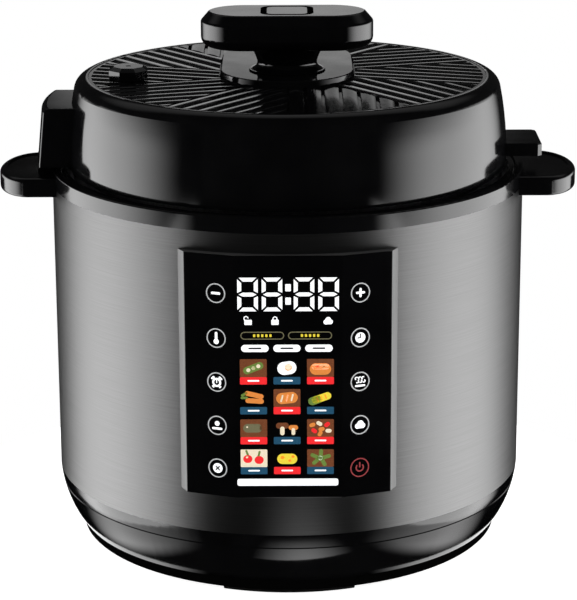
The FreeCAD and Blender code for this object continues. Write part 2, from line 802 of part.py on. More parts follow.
def display_board():
    z0, z1 = z_panel, z_panel + panel_h
    half = panel_half_w - bezel_rim - play
    y0 = facet_y(half, glass_t + board_gap)
    board = block(-half, half, y0, y0 + board_t, z0 + bezel_rim, z1 - bezel_rim)
    chip_half = panel_flat_half_w - wall
    chip = block(-chip_half, chip_half, y0 + board_t - bite, y0 + 3 * board_t, z0 + window_margin + wall,
                 z0 + panel_h / 3)
    window_half = panel_half_w - window_margin - 2 * play
    margin = window_margin + play
    window = block(-window_half, window_half, -2 * body_r, 0, z0 + margin, z1 - margin)
    wrap = cylinder(body_r + play, 0, z_top)
    return joined(less(board, less(wrap, window)), chip)


# Electrics in the base

def board_posts():
    rows = (power_board_y - board_post_y, power_board_y + board_post_y)
    return [(x, y) for x in (-board_post_x, board_post_x) for y in rows]


def power_board():
    z0 = z_power_board
    w, d = power_board_half_w, power_board_half_d
    top = z0 + board_t
    board = block(-w, w, power_board_y - d, power_board_y + d, z0, top)
    parts = [block(x0, x1, y0, y1, top - bite, top + h) for x0, x1, y0, y1, h in board_blocks]
    parts += [cylinder(r, top - bite, top + h, x, y) for x, y, r, h in board_cans]
    holes = [cylinder(base_screw_r, z0 - over, top + over, x, y) for x, y in board_posts()]
    return less(joined(board, *parts), *holes)


def board_screws():
    top = z_power_board + board_t
    screws = []
    for x, y in board_posts():
        shank = cylinder(base_screw_r - fit, z_cover_floor + edge, top + bite, x, y)
        screws.append(joined(cylinder(2 * base_screw_r - 2 * seam, top, top + screw_head_t, x, y), shank))
    return Part.makeCompound(screws)


def power_inlet():
    y0, y1 = y_inlet - inlet_depth, y_inlet
    w = inlet_half_w
    gap = play / 2
    body = block(-w + gap, w - gap, y0 - wall, y1, inlet_z + gap, inlet_z + inlet_h - gap)
    rim = block(-w - wall, w + wall, y0, y1, inlet_z - wall, inlet_z + inlet_h + wall)
    rim = rim.cut(cylinder(body_r, 0, z_top))
    z0, z1 = z_socket, z_socket + socket_h
    s, c = socket_half_w, pin_h
    socket = cross_prism(y0, y1 + over, (-s, z0), (s, z0), (s, z1 - c), (s - c, z1), (-s + c, z1),
                         (-s, z1 - c))
    holes = [block(x - pin_w / 2, x + pin_w / 2, 0, y1, z0 + pin_h, z0 + 2 * pin_h) for x in pin_places()]
    return less(joined(body, rim), socket, *holes)


def pin_places():
    return [-pin_pitch, 0.0, pin_pitch]


def inlet_pins():
    y0 = y_inlet - inlet_depth
    z0 = z_socket + pin_h
    return Part.makeCompound([block(x - pin_w / 2, x + pin_w / 2, y0 - 2 * wall, y0 + pin_l, z0, z0 + pin_h)
                              for x in pin_places()])


# Lid pieces

def lid_outline():
    """Lid's wall and shoulder as two arcs of an outline."""
    top_r = r_lid - lid_lean
    z_mid = z_lid + (lid_h - lid_shoulder_h) / 2
    z_shoulder = z_ribs - lid_shoulder_h
    s = math.sqrt(0.5)
    crest = (top_r - lid_shoulder_w * (1 - s), z_shoulder + lid_shoulder_h * s)
    wall_arc = ((r_lid - lid_lean * lid_bow, z_mid), (top_r, z_shoulder))
    return [wall_arc, (crest, (top_r - lid_shoulder_w, z_ribs))]


def lid_envelope():
    """The lid's whole outer form, filled in."""
    return turned_on_axis((0, z_lid), (r_lid, z_lid), *lid_outline(), (0, z_ribs))


def post_places():
    return [polar(post_circle_r, post_first_deg + 360.0 * k / post_count) for k in range(post_count)]


def at_valve(shape):
    """A shape made on the axis, moved to the valve."""
    shape.translate(V(valve_x, valve_y, 0))
    return shape


def lid_cover():
    roof = z_seat - wall
    bearing_r = shaft_r + 2 * wall
    shell = turned_on_axis((r_lid - wall, z_lid), (r_lid, z_lid), *lid_outline(), (r_disc + seam, z_seat),
                           (shaft_r + fit, z_seat), (shaft_r + fit, z_seat - bearing_len),
                           (bearing_r, z_seat - bearing_len), (bearing_r, roof),
                           (r_lid - lid_lean - lid_shoulder_w, roof),
                           (r_lid - lid_lean - 1.5 * wall, roof - wall))
    posts = [cylinder(post_r, z_lid_plate, roof + bite, x, y) for x, y in post_places()]
    pilots = [cylinder(base_screw_r, z_lid_plate - over, roof - wall, x, y) for x, y in post_places()]
    hole = at_valve(cylinder(valve_stem_r + play, 0, z_top))
    return less(joined(shell, *posts), hole, *pilots)


def ribs():
    """Ribs with crowned tops in pie sectors, each sector's ribs lying along its clockwise edge."""
    sector = 360.0 / rib_sectors
    z0 = z_seat + disc_t
    low, crown = z0 - disc_t / 2, z0 + rib_h
    pie = about_z(wedge(0, r_disc - disc_rim_w, low, crown + over, sector / 2), sector / 2)
    reach = r_disc * math.sin(math.radians(sector))
    half = rib_w / 2
    top, z1 = half - rib_draft, crown - rib_crown
    rows = []
    for k in range(round(reach / rib_pitch)):
        y = rib_pitch * (k + 0.5)
        wire = path((y - half, low), [(y - half, z0), (y - top, z1), ((y, crown), (y + top, z1)),
                                      (y + half, z0), (y + half, low)], lambda p: V(0, p[0], p[1]))
        rows.append(Part.Face(wire).extrude(V(r_disc, 0, 0)))
    one = Part.makeCompound(rows).common(pie)
    return [about_z(solid, -90 + sector * k) for k in range(rib_sectors) for solid in one.Solids]


def lid_disc():
    z0 = z_seat + disc_t
    rim_in = r_disc - disc_rim_w
    base = turned_on_axis((0, z_seat), (r_disc, z_seat), (r_disc, z_ribs - seam), (rim_in, z_ribs - seam),
                          (rim_in, z0), (0, z0))
    hole = at_valve(cylinder(valve_stem_r + play, 0, z_top))
    under_plate = Part.Face(plate_wire(z0, play)).extrude(UP * lid_h)
    return less(base.multiFuse(ribs()), cylinder(shaft_r + play, 0, z_top), hole, under_plate)


def plate_wire(z, margin=0.0):
    """Centre plate's plan: round in front, straight flanks, round behind."""
    w = plate_half_w + margin
    rear, front = ((0, plate_back + w), (-w, plate_back)), ((0, -w), (w, 0))
    return path((w, 0), [(w, plate_back), rear, (-w, 0), front], lambda p: V(p[0], p[1], z))


def centre_plate():
    plate = Part.makeLoft([plate_wire(z_seat + disc_t), plate_wire(z_plate, -plate_draft)], True, True)
    plate = plate.makeChamfer(plate_edge, [line for line in plate.Edges if at_height(line, z_plate)])
    return less(plate, cylinder(shaft_r + play, 0, z_top))


def hinge_block():
    """Hinge tower, its outer face round the cooker's axis, with a pocket for the handle's knuckle."""
    z0, z1 = z_lid + tower_lift, z_lid + tower_lift + tower_h
    foot, top = body_r + tower_reach, body_r + tower_reach - tower_lean
    inner, half = r_lid / 2, tower_w / 2
    brow = rounded((foot, z0), (top, z1), (inner, z1), tower_round)
    tower = turned_on_axis((inner, z0), (foot, z0), *brow, (inner, z1))
    tower = tower.common(block(-2 * body_r, -inner, -half, half, z0, z1))
    flanks = [line for line in tower.Edges
              if line.BoundBox.YLength < tiny and line.BoundBox.XMin < -r_lid and not at_height(line, z0)]
    tower = tower.makeFillet(tower_bevel, flanks)
    room = knuckle_r + play
    w = knuckle_half_l + play
    pocket = block(-foot - over, x_hinge + room, -w, w, z0 - over, z_hinge + room)
    bore = along_y(hinge_pin_r + fit, x_hinge, z_hinge, -half + wall, half + over)
    return less(tower, lid_envelope(), pocket, bore)


def lift_ear():
    z0, z1 = z_lid + ear_lift, z_lid + ear_lift + ear_h
    half, b = ear_w / 2, ear_bevel
    tip = body_r + ear_reach
    ear = prism(z0, z1, (r_lid / 2, -half), (tip - b, -half), (tip, -half + b), (tip, half - b),
                (tip - b, half), (r_lid / 2, half))
    top = [line for line in ear.Edges if at_height(line, z1) and line.BoundBox.XMax > r_lid]
    return less(ear.makeChamfer(soft_edge, top), lid_envelope())


def pressure_lid():
    z0, z1 = z_lid_plate - lid_plate_t, z_lid_plate
    lip = z_gasket + play
    dish = turned_on_axis((0, z0), (r_dish_flat - dish_flat_step, z0), (r_dish_in, z_dish_rim),
                          (r_dish_in, lip), (r_dish, lip), (r_dish, z1 - dish_drop), (r_dish_flat, z1),
                          (0, z1))
    holes = [at_valve(cylinder(pipe_r, 0, z_top)), cylinder(float_pin_r + fit, 0, z_top, float_x, float_y)]
    holes += [cylinder(base_screw_r + fit, 0, z_top, x, y) for x, y in post_places()]
    return less(dish, *holes)


def lid_screws():
    z0 = z_lid_plate - lid_plate_t
    screws = []
    for x, y in post_places():
        shank = cylinder(base_screw_r - fit, z0 - bite, z_lid_plate + 4 * wall, x, y)
        screws.append(joined(cylinder(2 * base_screw_r, z0 - screw_head_t, z0, x, y), shank))
    return Part.makeCompound(screws)


def lid_gasket():
    """Sealing ring with a lip that the steam presses outwards."""
    z0, z1 = z_gasket, z_gasket + gasket_h
    r1 = r_dish_in - play
    r0 = r1 - gasket_w
    lip = gasket_lip
    return turned_on_axis((r0 + wall, z0), (r1, z0), (r1, z1), (r0, z1), (r0, z1 - lip),
                          (r1 - lip, z1 - lip), (r1 - lip, z0 + lip))


def gasket_ring():
    """Wire ring that holds the gasket up, on four studs."""
    z0 = z_gasket + gasket_h - wall
    ring = tube(r_dish_in - play - gasket_w - 2 * fit, r_gasket_ring, z0, z0 + gasket_ring_t)
    stud = cylinder(gasket_stud_r, z0 + bite, z_lid_plate - lid_plate_t, r_gasket_stud)
    return joined(ring, *around(stud, post_count, gasket_stud_deg))


def exhaust_pipe():
    pipe = joined(cylinder(pipe_r - fit, z_lid_plate - lid_plate_t - 3 * wall, z_seat - 2 * wall),
                  cylinder(pipe_r + wall, z_lid_plate, z_lid_plate + wall))
    return at_valve(less(pipe, cylinder(pipe_bore, 0, z_top)))


def hexagon(radius, z0, z1):
    return prism(z0, z1, *[polar(radius, 60 * k) for k in range(6)])


def pipe_nut():
    z1 = z_lid_plate - lid_plate_t
    return at_valve(less(hexagon(pipe_r + nut_w, z1 - wall, z1), cylinder(pipe_r, 0, z_top)))


def pipe_shield():
    """Slotted cup that keeps food out of the exhaust pipe."""
    z1 = z_lid_plate - lid_plate_t - wall
    z0 = z1 - shield_h
    cup = turned_on_axis((0, z0), (r_shield, z0), (r_shield, z1), (pipe_r, z1),
                         (pipe_r, z0 + shield_floor_t), (0, z0 + shield_floor_t))
    low = z0 + shield_floor_t + edge
    half = shield_slot_w / 2
    slot = block(pipe_r - over, r_shield + over, -half, half, low, low + shield_slot_h)
    return at_valve(less(cup, *around(slot, shield_slots)))


# Knob, lock, release button and valve

def lock_ring():
    """Skirt with lugs, on arms that leave room for the valve's side."""
    z0, z1 = z_lug, z_spider + arm_t
    root = r_lock_skirt - skirt_t / 2
    skirt = tube(r_lock_skirt, r_lock_skirt - skirt_t, z0, z1)
    lug = wedge(root, r_lug, z0, z0 + lug_t, lug_deg / 2)
    arm = block(0, root, -arm_w / 2, arm_w / 2, z_spider, z1)
    stiffener = block(0, root, -wall / 2, wall / 2, z1 - bite, z1 + hub_h / 2)
    arms = [about_z(part, degrees) for degrees in (0, 90, 270) for part in (arm, stiffener)]
    hub = cylinder(hub_r, z_spider, z_spider + hub_h)
    ring = joined(skirt, hub, *arms, *around(lug, lug_count))
    return less(ring, cylinder(shaft_r + fit / 2, 0, z_top))


def drive_shaft():
    shoulder = z_spider + hub_h
    shaft = joined(cylinder(shaft_r, z_spider - lever_gap, z_shaft_top),
                   cylinder(shaft_r + wall, shoulder, shoulder + wall))
    return less(shaft, cylinder(rod_r + play, 0, z_top))


def shaft_nut():
    nut = hexagon(shaft_r + nut_w, z_spider - lever_gap - wall / 2, z_spider)
    return less(nut, cylinder(shaft_r + fit / 2, 0, z_top))


def stadium(half_l, half_w, start, *steps):
    """A long solid with half-round ends, all round which runs one outline of radius and height."""
    s = half_l - half_w
    end = turned_on_axis(start, *steps)
    far = end.copy()
    end.translate(V(s, 0, 0))
    far.translate(V(-s, 0, 0))
    flank = Part.Face(path(start, steps, lambda p: V(-s, p[0], p[1]))).extrude(V(2 * s, 0, 0))
    return joined(end, far, flank, flank.mirror(V(0, 0, 0), V(0, 1, 0)))


def cap_solid(gap, z1):
    """The knob's top cover, narrowed by a gap, up to a height."""
    inset = bar_chamfer + cap_rim + gap
    r, z0 = bar_half_w - inset, z_top - cap_t
    return stadium(bar_half_l - inset, r, (0, z0), (r, z0), (r, z1), (0, z1))


def button_pocket(z0):
    """Room round the release button, from a height up."""
    grow = button_groove
    return rounded_block(button_half_x + grow, button_half_y + grow, button_round + grow, z0, z_top + over)


def knob_grip():
    r, low = bar_half_w, (bar_half_w, z_top - bar_chamfer_h)
    brow = (bar_half_w - bar_chamfer, z_top)
    bar = stadium(bar_half_l, r, (0, z_bar), *rounded((0, z_bar), (r, z_bar), low, bar_round),
                  *rounded((r, z_bar), low, brow, bar_soft),
                  *rounded(low, brow, (0, z_top), bar_soft), (0, z_top))
    z0 = z_plate + play
    foot = z0 + collar_h
    waist = foot + collar_round
    flare = neck_r + neck_flare
    neck = turned_on_axis((0, z0), (collar_r, z0), (collar_r, foot),
                          *rounded((collar_r, foot), (neck_r, foot), (neck_r, z_bar), collar_round),
                          ((neck_r + neck_flare / 2 - neck_bow, (waist + z_bar) / 2), (flare, z_bar + bite)),
                          (0, z_bar + bite))
    bore = cylinder(shaft_r + fit / 2, 0, z_shaft_top)
    return less(joined(bar, neck), cap_solid(0.0, z_top + over), button_pocket(z_pocket), bore,
                cylinder(rod_r + play, 0, z_top))


def knob_cap():
    return less(cap_solid(fit, z_top), button_pocket(0.0))


def release_button():
    cap = rounded_block(button_half_x, button_half_y, button_round, z_top - button_t, z_top)
    cap = cap.makeChamfer(soft_edge, [line for line in cap.Edges if at_height(line, z_top)])
    return less(cap, cylinder(rod_r, 0, z_top - button_t / 2))


def push_rod():
    return cylinder(rod_r - fit / 2, z_lever + lever_t + lever_gap, z_top - button_t / 2)


def button_spring():
    top = z_top - button_t - spring_wire_r - play
    return coil(button_spring_r, spring_wire_r, z_pocket + spring_wire_r, top, spring_turns)


def toward_valve(shape):
    """Turns a shape made along -X to the valve's direction."""
    return about_z(shape, valve_deg - 180.0)


def lever_axle(radius, half):
    return along_y(radius, -lever_r, z_lever + lever_t / 2, -half, half)


def release_lever():
    """Arm under the push rod whose fork lifts the valve."""
    z0, z1 = z_lever, z_lever + lever_t
    half = lever_w / 2
    slot = pipe_r + tine_gap
    root = valve_r - pipe_r - fork_root
    arm = block(-root, 2 * rod_r, -half, half, z0, z1)
    yoke = block(-root, -root + tine_w, -slot - tine_w, slot + tine_w, z0, z1)
    tines = []
    for y in (slot, -slot - tine_w):
        tines.append(block(-valve_r - tine_w, -root + edge, y, y + tine_w, z0, z1))
        tines.append(block(-valve_r - pad_half_l, -valve_r + pad_half_l, y, y + tine_w, z1 - bite,
                           z1 + pad_h))
    lever = joined(arm, yoke, lever_axle(lever_t, half), *tines)
    return toward_valve(less(lever, lever_axle(lever_pin_r + fit, lever_w)))


def lever_bracket():
    y0 = lever_w / 2 + play
    x0, x1 = -lever_r - lever_t - edge, -lever_r + lever_t + edge
    foot = block(x0, x1, -y0 - wall, y0 + wall, z_lid_plate, z_lid_plate + lever_foot_t)
    cheeks = [block(x0, x1, y, y + wall, z_lid_plate, z_lever + lever_t + edge) for y in (y0, -y0 - wall)]
    return toward_valve(less(joined(foot, *cheeks), lever_axle(lever_pin_r + fit / 2, 2 * lever_w)))


def lever_pin():
    return toward_valve(lever_axle(lever_pin_r, lever_w / 2 + play + wall + bite))


def pressure_valve():
    """Weight over the exhaust pipe with an eight-sided cap."""
    z_cap = z_ribs + 2 * play
    top = z_cap + valve_cap_h
    roof = z_seat - wall
    stem = tube(valve_stem_r, pipe_r + play, z_lever + lever_t + pad_h + lever_gap, roof)
    plug = cylinder(valve_stem_r, roof - bite, z_cap + bite)
    side = valve_cap_r / math.cos(math.radians(22.5))

    def octagon(r, z):
        corners = [polar(r, 22.5 + 45 * k) for k in range(8)]
        return path(corners[0], corners[1:], lambda p: V(p[0], p[1], z))

    rings = [octagon(side, z_cap), octagon(side, top - valve_bevel_h), octagon(side - valve_bevel_w, top)]
    lower = Part.makeLoft(rings[:2], True, True)
    upper = Part.makeLoft(rings[1:], True, True)
    vent = cylinder(valve_vent_r, top - valve_vent_d, top + over)
    return at_valve(less(joined(stem, plug, lower, upper), vent))


def float_pin():
    """Pin that the steam lifts, with a head below the pressure lid and a collar above it."""
    z0 = z_lid_plate - lid_plate_t - float_travel - play
    stop = z_lid_plate + play
    pin = joined(cylinder(float_pin_r, z0 - bite, z_spider - float_travel - 4 * play),
                 cylinder(float_pin_r + float_head, z0 - float_head_t, z0),
                 cylinder(float_pin_r + float_stop, stop, stop + float_stop_t))
    pin.translate(V(float_x, float_y, 0))
    return pin


PIECES = [feet, bottom_cover, base_housing, base_screws, lower_ring, steel_wrap, upper_ring, rim_trim,
          right_handle, left_handle, hinge_pin, handle_screws, outer_pot, bayonet_ring, inner_pot,
          heater_plate, heater_terminals, sensor_bracket, sensor_spring, sensor_cap, panel_glass,
          panel_bezel, display_board, power_board, board_screws, power_inlet, inlet_pins, lid_cover,
          lid_disc, centre_plate, hinge_block, lift_ear, pressure_lid, lid_screws, lid_gasket, gasket_ring,
          exhaust_pipe, pipe_nut, pipe_shield, lever_bracket, lever_pin, release_lever, pressure_valve,
          float_pin, lock_ring, drive_shaft, shaft_nut, knob_grip, knob_cap, button_spring, release_button,
          push_rod]

os.makedirs("parts", exist_ok=True)
for piece in PIECES:
    shape = piece()
    shape.exportStep("parts/" + piece.__name__ + ".step")
    print(piece.__name__, len(shape.Solids), "solid", round(shape.Volume), "mm3", shape.isValid())
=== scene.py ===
# %% [markdown]
# # An electric pressure cooker, dressed in Blender
# The cooker's solids come from CAD and are loaded first. They are a fixed frame: nothing here moves
# them. This lesson adds what the eye looks for on top of them: a camera and a studio, the materials,
# the brushed steel body, the springs and the lit control panel.

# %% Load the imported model
import math

import bmesh
import bpy
from mathutils import Matrix, Vector


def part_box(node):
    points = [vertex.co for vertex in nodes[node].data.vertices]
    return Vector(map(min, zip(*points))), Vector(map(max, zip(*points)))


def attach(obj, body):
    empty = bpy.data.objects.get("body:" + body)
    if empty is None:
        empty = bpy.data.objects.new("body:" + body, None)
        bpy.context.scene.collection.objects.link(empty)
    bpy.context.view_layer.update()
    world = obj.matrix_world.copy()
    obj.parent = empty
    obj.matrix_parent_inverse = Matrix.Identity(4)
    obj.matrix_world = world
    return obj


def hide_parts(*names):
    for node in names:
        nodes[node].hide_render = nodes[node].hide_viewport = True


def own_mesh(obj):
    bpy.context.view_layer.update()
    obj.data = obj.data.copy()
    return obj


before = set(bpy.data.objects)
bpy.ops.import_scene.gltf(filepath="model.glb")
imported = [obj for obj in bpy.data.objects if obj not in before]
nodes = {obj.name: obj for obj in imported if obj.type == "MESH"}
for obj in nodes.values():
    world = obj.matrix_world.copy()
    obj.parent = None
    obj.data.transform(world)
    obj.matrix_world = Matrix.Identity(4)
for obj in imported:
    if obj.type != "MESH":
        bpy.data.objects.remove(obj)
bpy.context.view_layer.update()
MM = 0.001

# %% [markdown]
# ## Camera
# The picture was taken from a little above the lid, straight at the panel, with a long lens. The place
# and the tilt could be tried by eye, but they were worked out from the ellipses of the round rims, so
# they are plain numbers here. The lens follows from the focal length in pixels.

# %% Camera
CAMERA_PLACE = Vector((0.23, -1387.0, 544.0)) * MM
TILT_DOWN = math.radians(16.14)
ROLL = math.radians(-0.231)
FOCAL_PX = 2412.0
IMAGE_PX = 600
SENSOR_MM = 36.0

camera = bpy.data.objects.new("camera", bpy.data.cameras.new("camera"))
bpy.context.scene.collection.objects.link(camera)
camera.data.sensor_width = SENSOR_MM
camera.data.lens = SENSOR_MM * FOCAL_PX / IMAGE_PX
turn = Matrix.Rotation(math.pi / 2 - TILT_DOWN, 4, "X") @ Matrix.Rotation(ROLL, 4, "Z")
camera.matrix_world = Matrix.Translation(CAMERA_PLACE) @ turn
bpy.context.scene.camera = camera
bpy.context.scene.view_settings.view_transform = "Standard"
print("camera lens", round(camera.data.lens, 1), "mm")

# %% [markdown]
# ## Small helpers for shaders
# Colours are picked on a screen as sRGB hex values, but Blender's sockets want linear light, so one
# function converts them. A second one adds a shader node, sets it and links it in one call: a value
# that is a socket becomes a link, and any other value is typed into the input. The last two make what
# every light here needs: a smooth fade between two places, and several levels joined by one operation.

# %% Small helpers for shaders
def linear(hex_colour):
    parts = [int(hex_colour[i:i + 2], 16) / 255 for i in (1, 3, 5)]
    return tuple(c / 12.92 if c <= 0.04045 else ((c + 0.055) / 1.055) ** 2.4 for c in parts) + (1.0,)


def add_node(tree, kind, inputs=None, **settings):
    made = tree.nodes.new(kind)
    for name, value in settings.items():
        setattr(made, name, value)
    for key, value in (inputs or {}).items():
        if isinstance(value, bpy.types.NodeSocket):
            tree.links.new(value, made.inputs[key])
        else:
            made.inputs[key].default_value = value
    return made


def fade(tree, value, start, end):
    """From 0 at the start to 1 at the end. The start may be the larger number."""
    return add_node(tree, "ShaderNodeMapRange", {"Value": value, "From Min": start, "From Max": end},
                    interpolation_type="SMOOTHSTEP").outputs[0]


def join(tree, operation, level, *others):
    for other in others:
        level = add_node(tree, "ShaderNodeMath", {0: level, 1: other}, operation=operation).outputs[0]
    return level


print("mid grey is", [round(c, 3) for c in linear("#808080")[:3]])

# %% [markdown]
# ## Studio
# Gloss black shows only what it mirrors, so the studio is most of the look. The picture has white
# behind the cooker, darkness in front of it and one large soft lamp on each side. A photo of a studio
# on a sphere would do this too, but lamps and a plain world are easier to steer. The world is white to
# the camera. Reflections see that white as a band along the horizon behind the cooker, a dim soft light
# high up towards the rear, and nearly black elsewhere, as with black flags round the camera.

# %% World
FLAG_LEVEL = 0.012
FILL_LEVEL = 0.45
BAND_LEVEL = 0.62
BAND_BEHIND = (0.3, 0.8)
BAND_LOW = (-0.06, 0.02)
BAND_HIGH = (0.2, 0.183)
BAND_LEFT = (-0.11, -0.085)
BAND_RIGHT = (0.105, 0.07)
ABOVE_LEVEL = 0.22
ABOVE_HIGH = (0.4, 0.7)
ABOVE_BEHIND = (0.0, 0.4)

world = bpy.data.worlds.new("studio")
bpy.context.scene.world = world
world.use_nodes = True
tree = world.node_tree
tree.nodes.clear()
ray = add_node(tree, "ShaderNodeLightPath")
place = add_node(tree, "ShaderNodeTexCoord").outputs["Generated"]
way = add_node(tree, "ShaderNodeSeparateXYZ", {0: place})
band_edges = [("Y", BAND_BEHIND), ("Z", BAND_LOW), ("Z", BAND_HIGH), ("X", BAND_LEFT), ("X", BAND_RIGHT)]
above_edges = [("Z", ABOVE_HIGH), ("Y", ABOVE_BEHIND)]
band = join(tree, "MULTIPLY", BAND_LEVEL,
            *[fade(tree, way.outputs[axis], *ends) for axis, ends in band_edges])
above = join(tree, "MULTIPLY", ABOVE_LEVEL,
             *[fade(tree, way.outputs[axis], *ends) for axis, ends in above_edges])
mirrored = join(tree, "MAXIMUM", FLAG_LEVEL, band, above)
shiny = ray.outputs["Is Glossy Ray"]
lit = add_node(tree, "ShaderNodeMix", {"Factor": shiny, "A": FILL_LEVEL, "B": mirrored})
seen = join(tree, "MAXIMUM", lit.outputs[0], ray.outputs["Is Camera Ray"])
sky = add_node(tree, "ShaderNodeBackground", {"Color": linear("#ffffff"), "Strength": seen})
add_node(tree, "ShaderNodeOutputWorld", {"Surface": sky.outputs[0]})
print("world: white to the camera, a bright band behind the cooker to reflections")

# %% [markdown]
# ## Side lamps
# The grey sheen on the lid and the steel comes from a soft lamp on each side. An area lamp has hard
# edges in a mirror, so each lamp is made of glowing sheets whose strength fades towards their edges:
# that fade is the fade of the sheen on the black. Upright walls are seen from above, so they mirror
# what lies a little below the horizon. The high sheet is there for the lid. The low one reaches further
# forward, for the wider sheen on the steel. The third lies under it for the bowl, which faces down.
# In the picture the right lamp stands a little further forward.

# %% Side lamps
LAMP_AWAY = 1.1
LAMP_LEVEL = 4.4
HIGH_FRONT = (-0.85, 0.0)
HIGH_BACK = (1.65, 0.1)
HIGH_HEAD = (0.45, 0.2)
LOW_FRONT = (-1.2, -0.6)
LOW_BACK = (1.12, 0.4)
LOW_HEAD = -0.1
LOW_FOOT = -0.65
UNDER_LEVEL = 2.3
UNDER_INNER = (0.48, 0.68)
UNDER_TURN = (-1.1, 0.3)
UNDER_BACK = (0.85, 0.2)
RIGHT_AHEAD = 0.15
RIGHT_STRETCH = 1.14


def lamp_glow(name, level, *fades):
    """Each fade names a place: x counts to both sides, and turned is y over x."""
    made = bpy.data.materials.new(name)
    made.use_nodes = True
    tree = made.node_tree
    tree.nodes.clear()
    place = add_node(tree, "ShaderNodeTexCoord").outputs["Object"]
    x, y, z = add_node(tree, "ShaderNodeSeparateXYZ", {0: place}).outputs
    aside = add_node(tree, "ShaderNodeMath", {0: x}, operation="ABSOLUTE").outputs[0]
    spots = {"x": aside, "y": y, "z": z, "turned": join(tree, "DIVIDE", y, aside)}
    strength = join(tree, "MULTIPLY", level, *[fade(tree, spots[spot], *ends) for spot, ends in fades])
    glow = add_node(tree, "ShaderNodeEmission", {"Strength": strength})
    add_node(tree, "ShaderNodeOutputMaterial", {"Surface": glow.outputs[0]})
    return made


def sheet(middle, turn, wide, tall):
    bm = bmesh.new()
    size = Matrix.Diagonal((wide, tall, 1, 1))
    bmesh.ops.create_grid(bm, x_segments=1, y_segments=1, size=0.5,
                          matrix=Matrix.Translation(middle) @ turn @ size)
    return bm


def to_stage(name, bm, material, *hidden_from):
    made = bpy.data.objects.new(name, bpy.data.meshes.new(name))
    bm.to_mesh(made.data)
    bm.free()
    made.data.materials.append(material)
    bpy.context.scene.collection.objects.link(made)
    for kind in hidden_from:
        setattr(made, "visible_" + kind, False)
    return made


high = lamp_glow("high_diffuser", LAMP_LEVEL, ("y", HIGH_FRONT), ("y", HIGH_BACK), ("z", HIGH_HEAD))
low = lamp_glow("low_diffuser", LAMP_LEVEL, ("y", LOW_FRONT), ("y", LOW_BACK))
under = lamp_glow("under_diffuser", UNDER_LEVEL, ("x", UNDER_INNER), ("turned", UNDER_TURN),
                  ("y", UNDER_BACK))
upright = Matrix.Rotation(math.pi / 2, 4, "Y")
lying = Matrix.Identity(4)
middle_y = (LOW_FRONT[0] + HIGH_BACK[0]) / 2
length = HIGH_BACK[0] - LOW_FRONT[0]
sheets = [(high, LAMP_AWAY, (LOW_HEAD + HIGH_HEAD[0]) / 2, upright, HIGH_HEAD[0] - LOW_HEAD),
          (low, LAMP_AWAY, (LOW_FOOT + LOW_HEAD) / 2, upright, LOW_HEAD - LOW_FOOT),
          (under, (LAMP_AWAY + UNDER_INNER[0]) / 2, LOW_FOOT, lying, LAMP_AWAY - UNDER_INNER[0])]
for side in (-1, 1):
    for glow, x, z, turn, wide in sheets:
        lamp = to_stage("lamp", sheet((side * x, middle_y, z), turn, wide, length), glow, "camera")
        if side > 0:
            lamp.location.y = -RIGHT_AHEAD
            if glow is high:
                lamp.scale.y = RIGHT_STRETCH
print("two lamps of", len(sheets), "sheets,", LAMP_AWAY, "m from the middle")

# %% [markdown]
# ## Two cards
# A studio puts small white cards just outside the picture to draw single highlights. One lies on the
# table in front and gives the low highlight in the middle of the base. The other stands for the bright
# paper close under the cooker: only the bowl's lowest edge mirrors it, as a fine line on each side. It
# is hidden from the camera and from diffuse light, so that it brightens nothing else.

# %% Two cards
CARD_LEVEL = 2.8
CARD_WIDE = 0.088
CARD_X = 0.012
CARD_Z = 0.001
CARD_ENDS = (-0.205, -0.15)
RIM_LEVEL = 1.8
RIM_R = 0.1285
RIM_X = (0.05, 0.085)
RIM_Z = 0.0005
DISC_STEPS = 96


def disc(radius, z):
    bm = bmesh.new()
    bmesh.ops.create_circle(bm, cap_ends=True, radius=radius, segments=DISC_STEPS,
                            matrix=Matrix.Translation((0, 0, z)))
    return bm


card_glow = lamp_glow("card_white", CARD_LEVEL, ("x", (CARD_WIDE / 2, 0.0)), ("y", CARD_ENDS))
card_sheet = sheet((0, sum(CARD_ENDS) / 2, CARD_Z), lying, CARD_WIDE, CARD_ENDS[1] - CARD_ENDS[0])
card = to_stage("front_card", card_sheet, card_glow, "camera")
card.location.x = CARD_X
rim_glow = lamp_glow("rim_white", RIM_LEVEL, ("x", RIM_X))
to_stage("rim_card", disc(RIM_R, RIM_Z), rim_glow, "camera", "diffuse", "shadow")
print("a front card", CARD_WIDE, "m wide and a rim card of", RIM_R, "m radius")

# %% [markdown]
# ## Floor
# The floor is a pale disc. It takes the cooker's shadow round the feet and turns to plain white towards
# its edge, so that no edge shows against the white world. Reflections pass it by: in the picture the
# black base mirrors the lamps down to its lower edge.

# %% Floor
FLOOR_R = 0.24
FLOOR_DROP = 0.0002
SHADOW_R = (0.07, 0.115)

paper = bpy.data.materials.new("white_paper_floor")
paper.use_nodes = True
tree = paper.node_tree
tree.nodes.clear()
place = add_node(tree, "ShaderNodeTexCoord").outputs["Object"]
away = add_node(tree, "ShaderNodeVectorMath", {0: place}, operation="LENGTH")
shown = add_node(tree, "ShaderNodeLightPath").outputs["Is Camera Ray"]
white = join(tree, "MULTIPLY", fade(tree, away.outputs["Value"], *SHADOW_R), shown)
sheen = add_node(tree, "ShaderNodeEmission", {"Strength": white})
flat = add_node(tree, "ShaderNodeBsdfDiffuse", {"Color": linear("#f2f2f0")})
both = add_node(tree, "ShaderNodeAddShader", {0: sheen.outputs[0], 1: flat.outputs[0]})
add_node(tree, "ShaderNodeOutputMaterial", {"Surface": both.outputs[0]})
to_stage("floor", disc(FLOOR_R, -FLOOR_DROP), paper, "glossy")
print("floor of", FLOOR_R, "m radius")

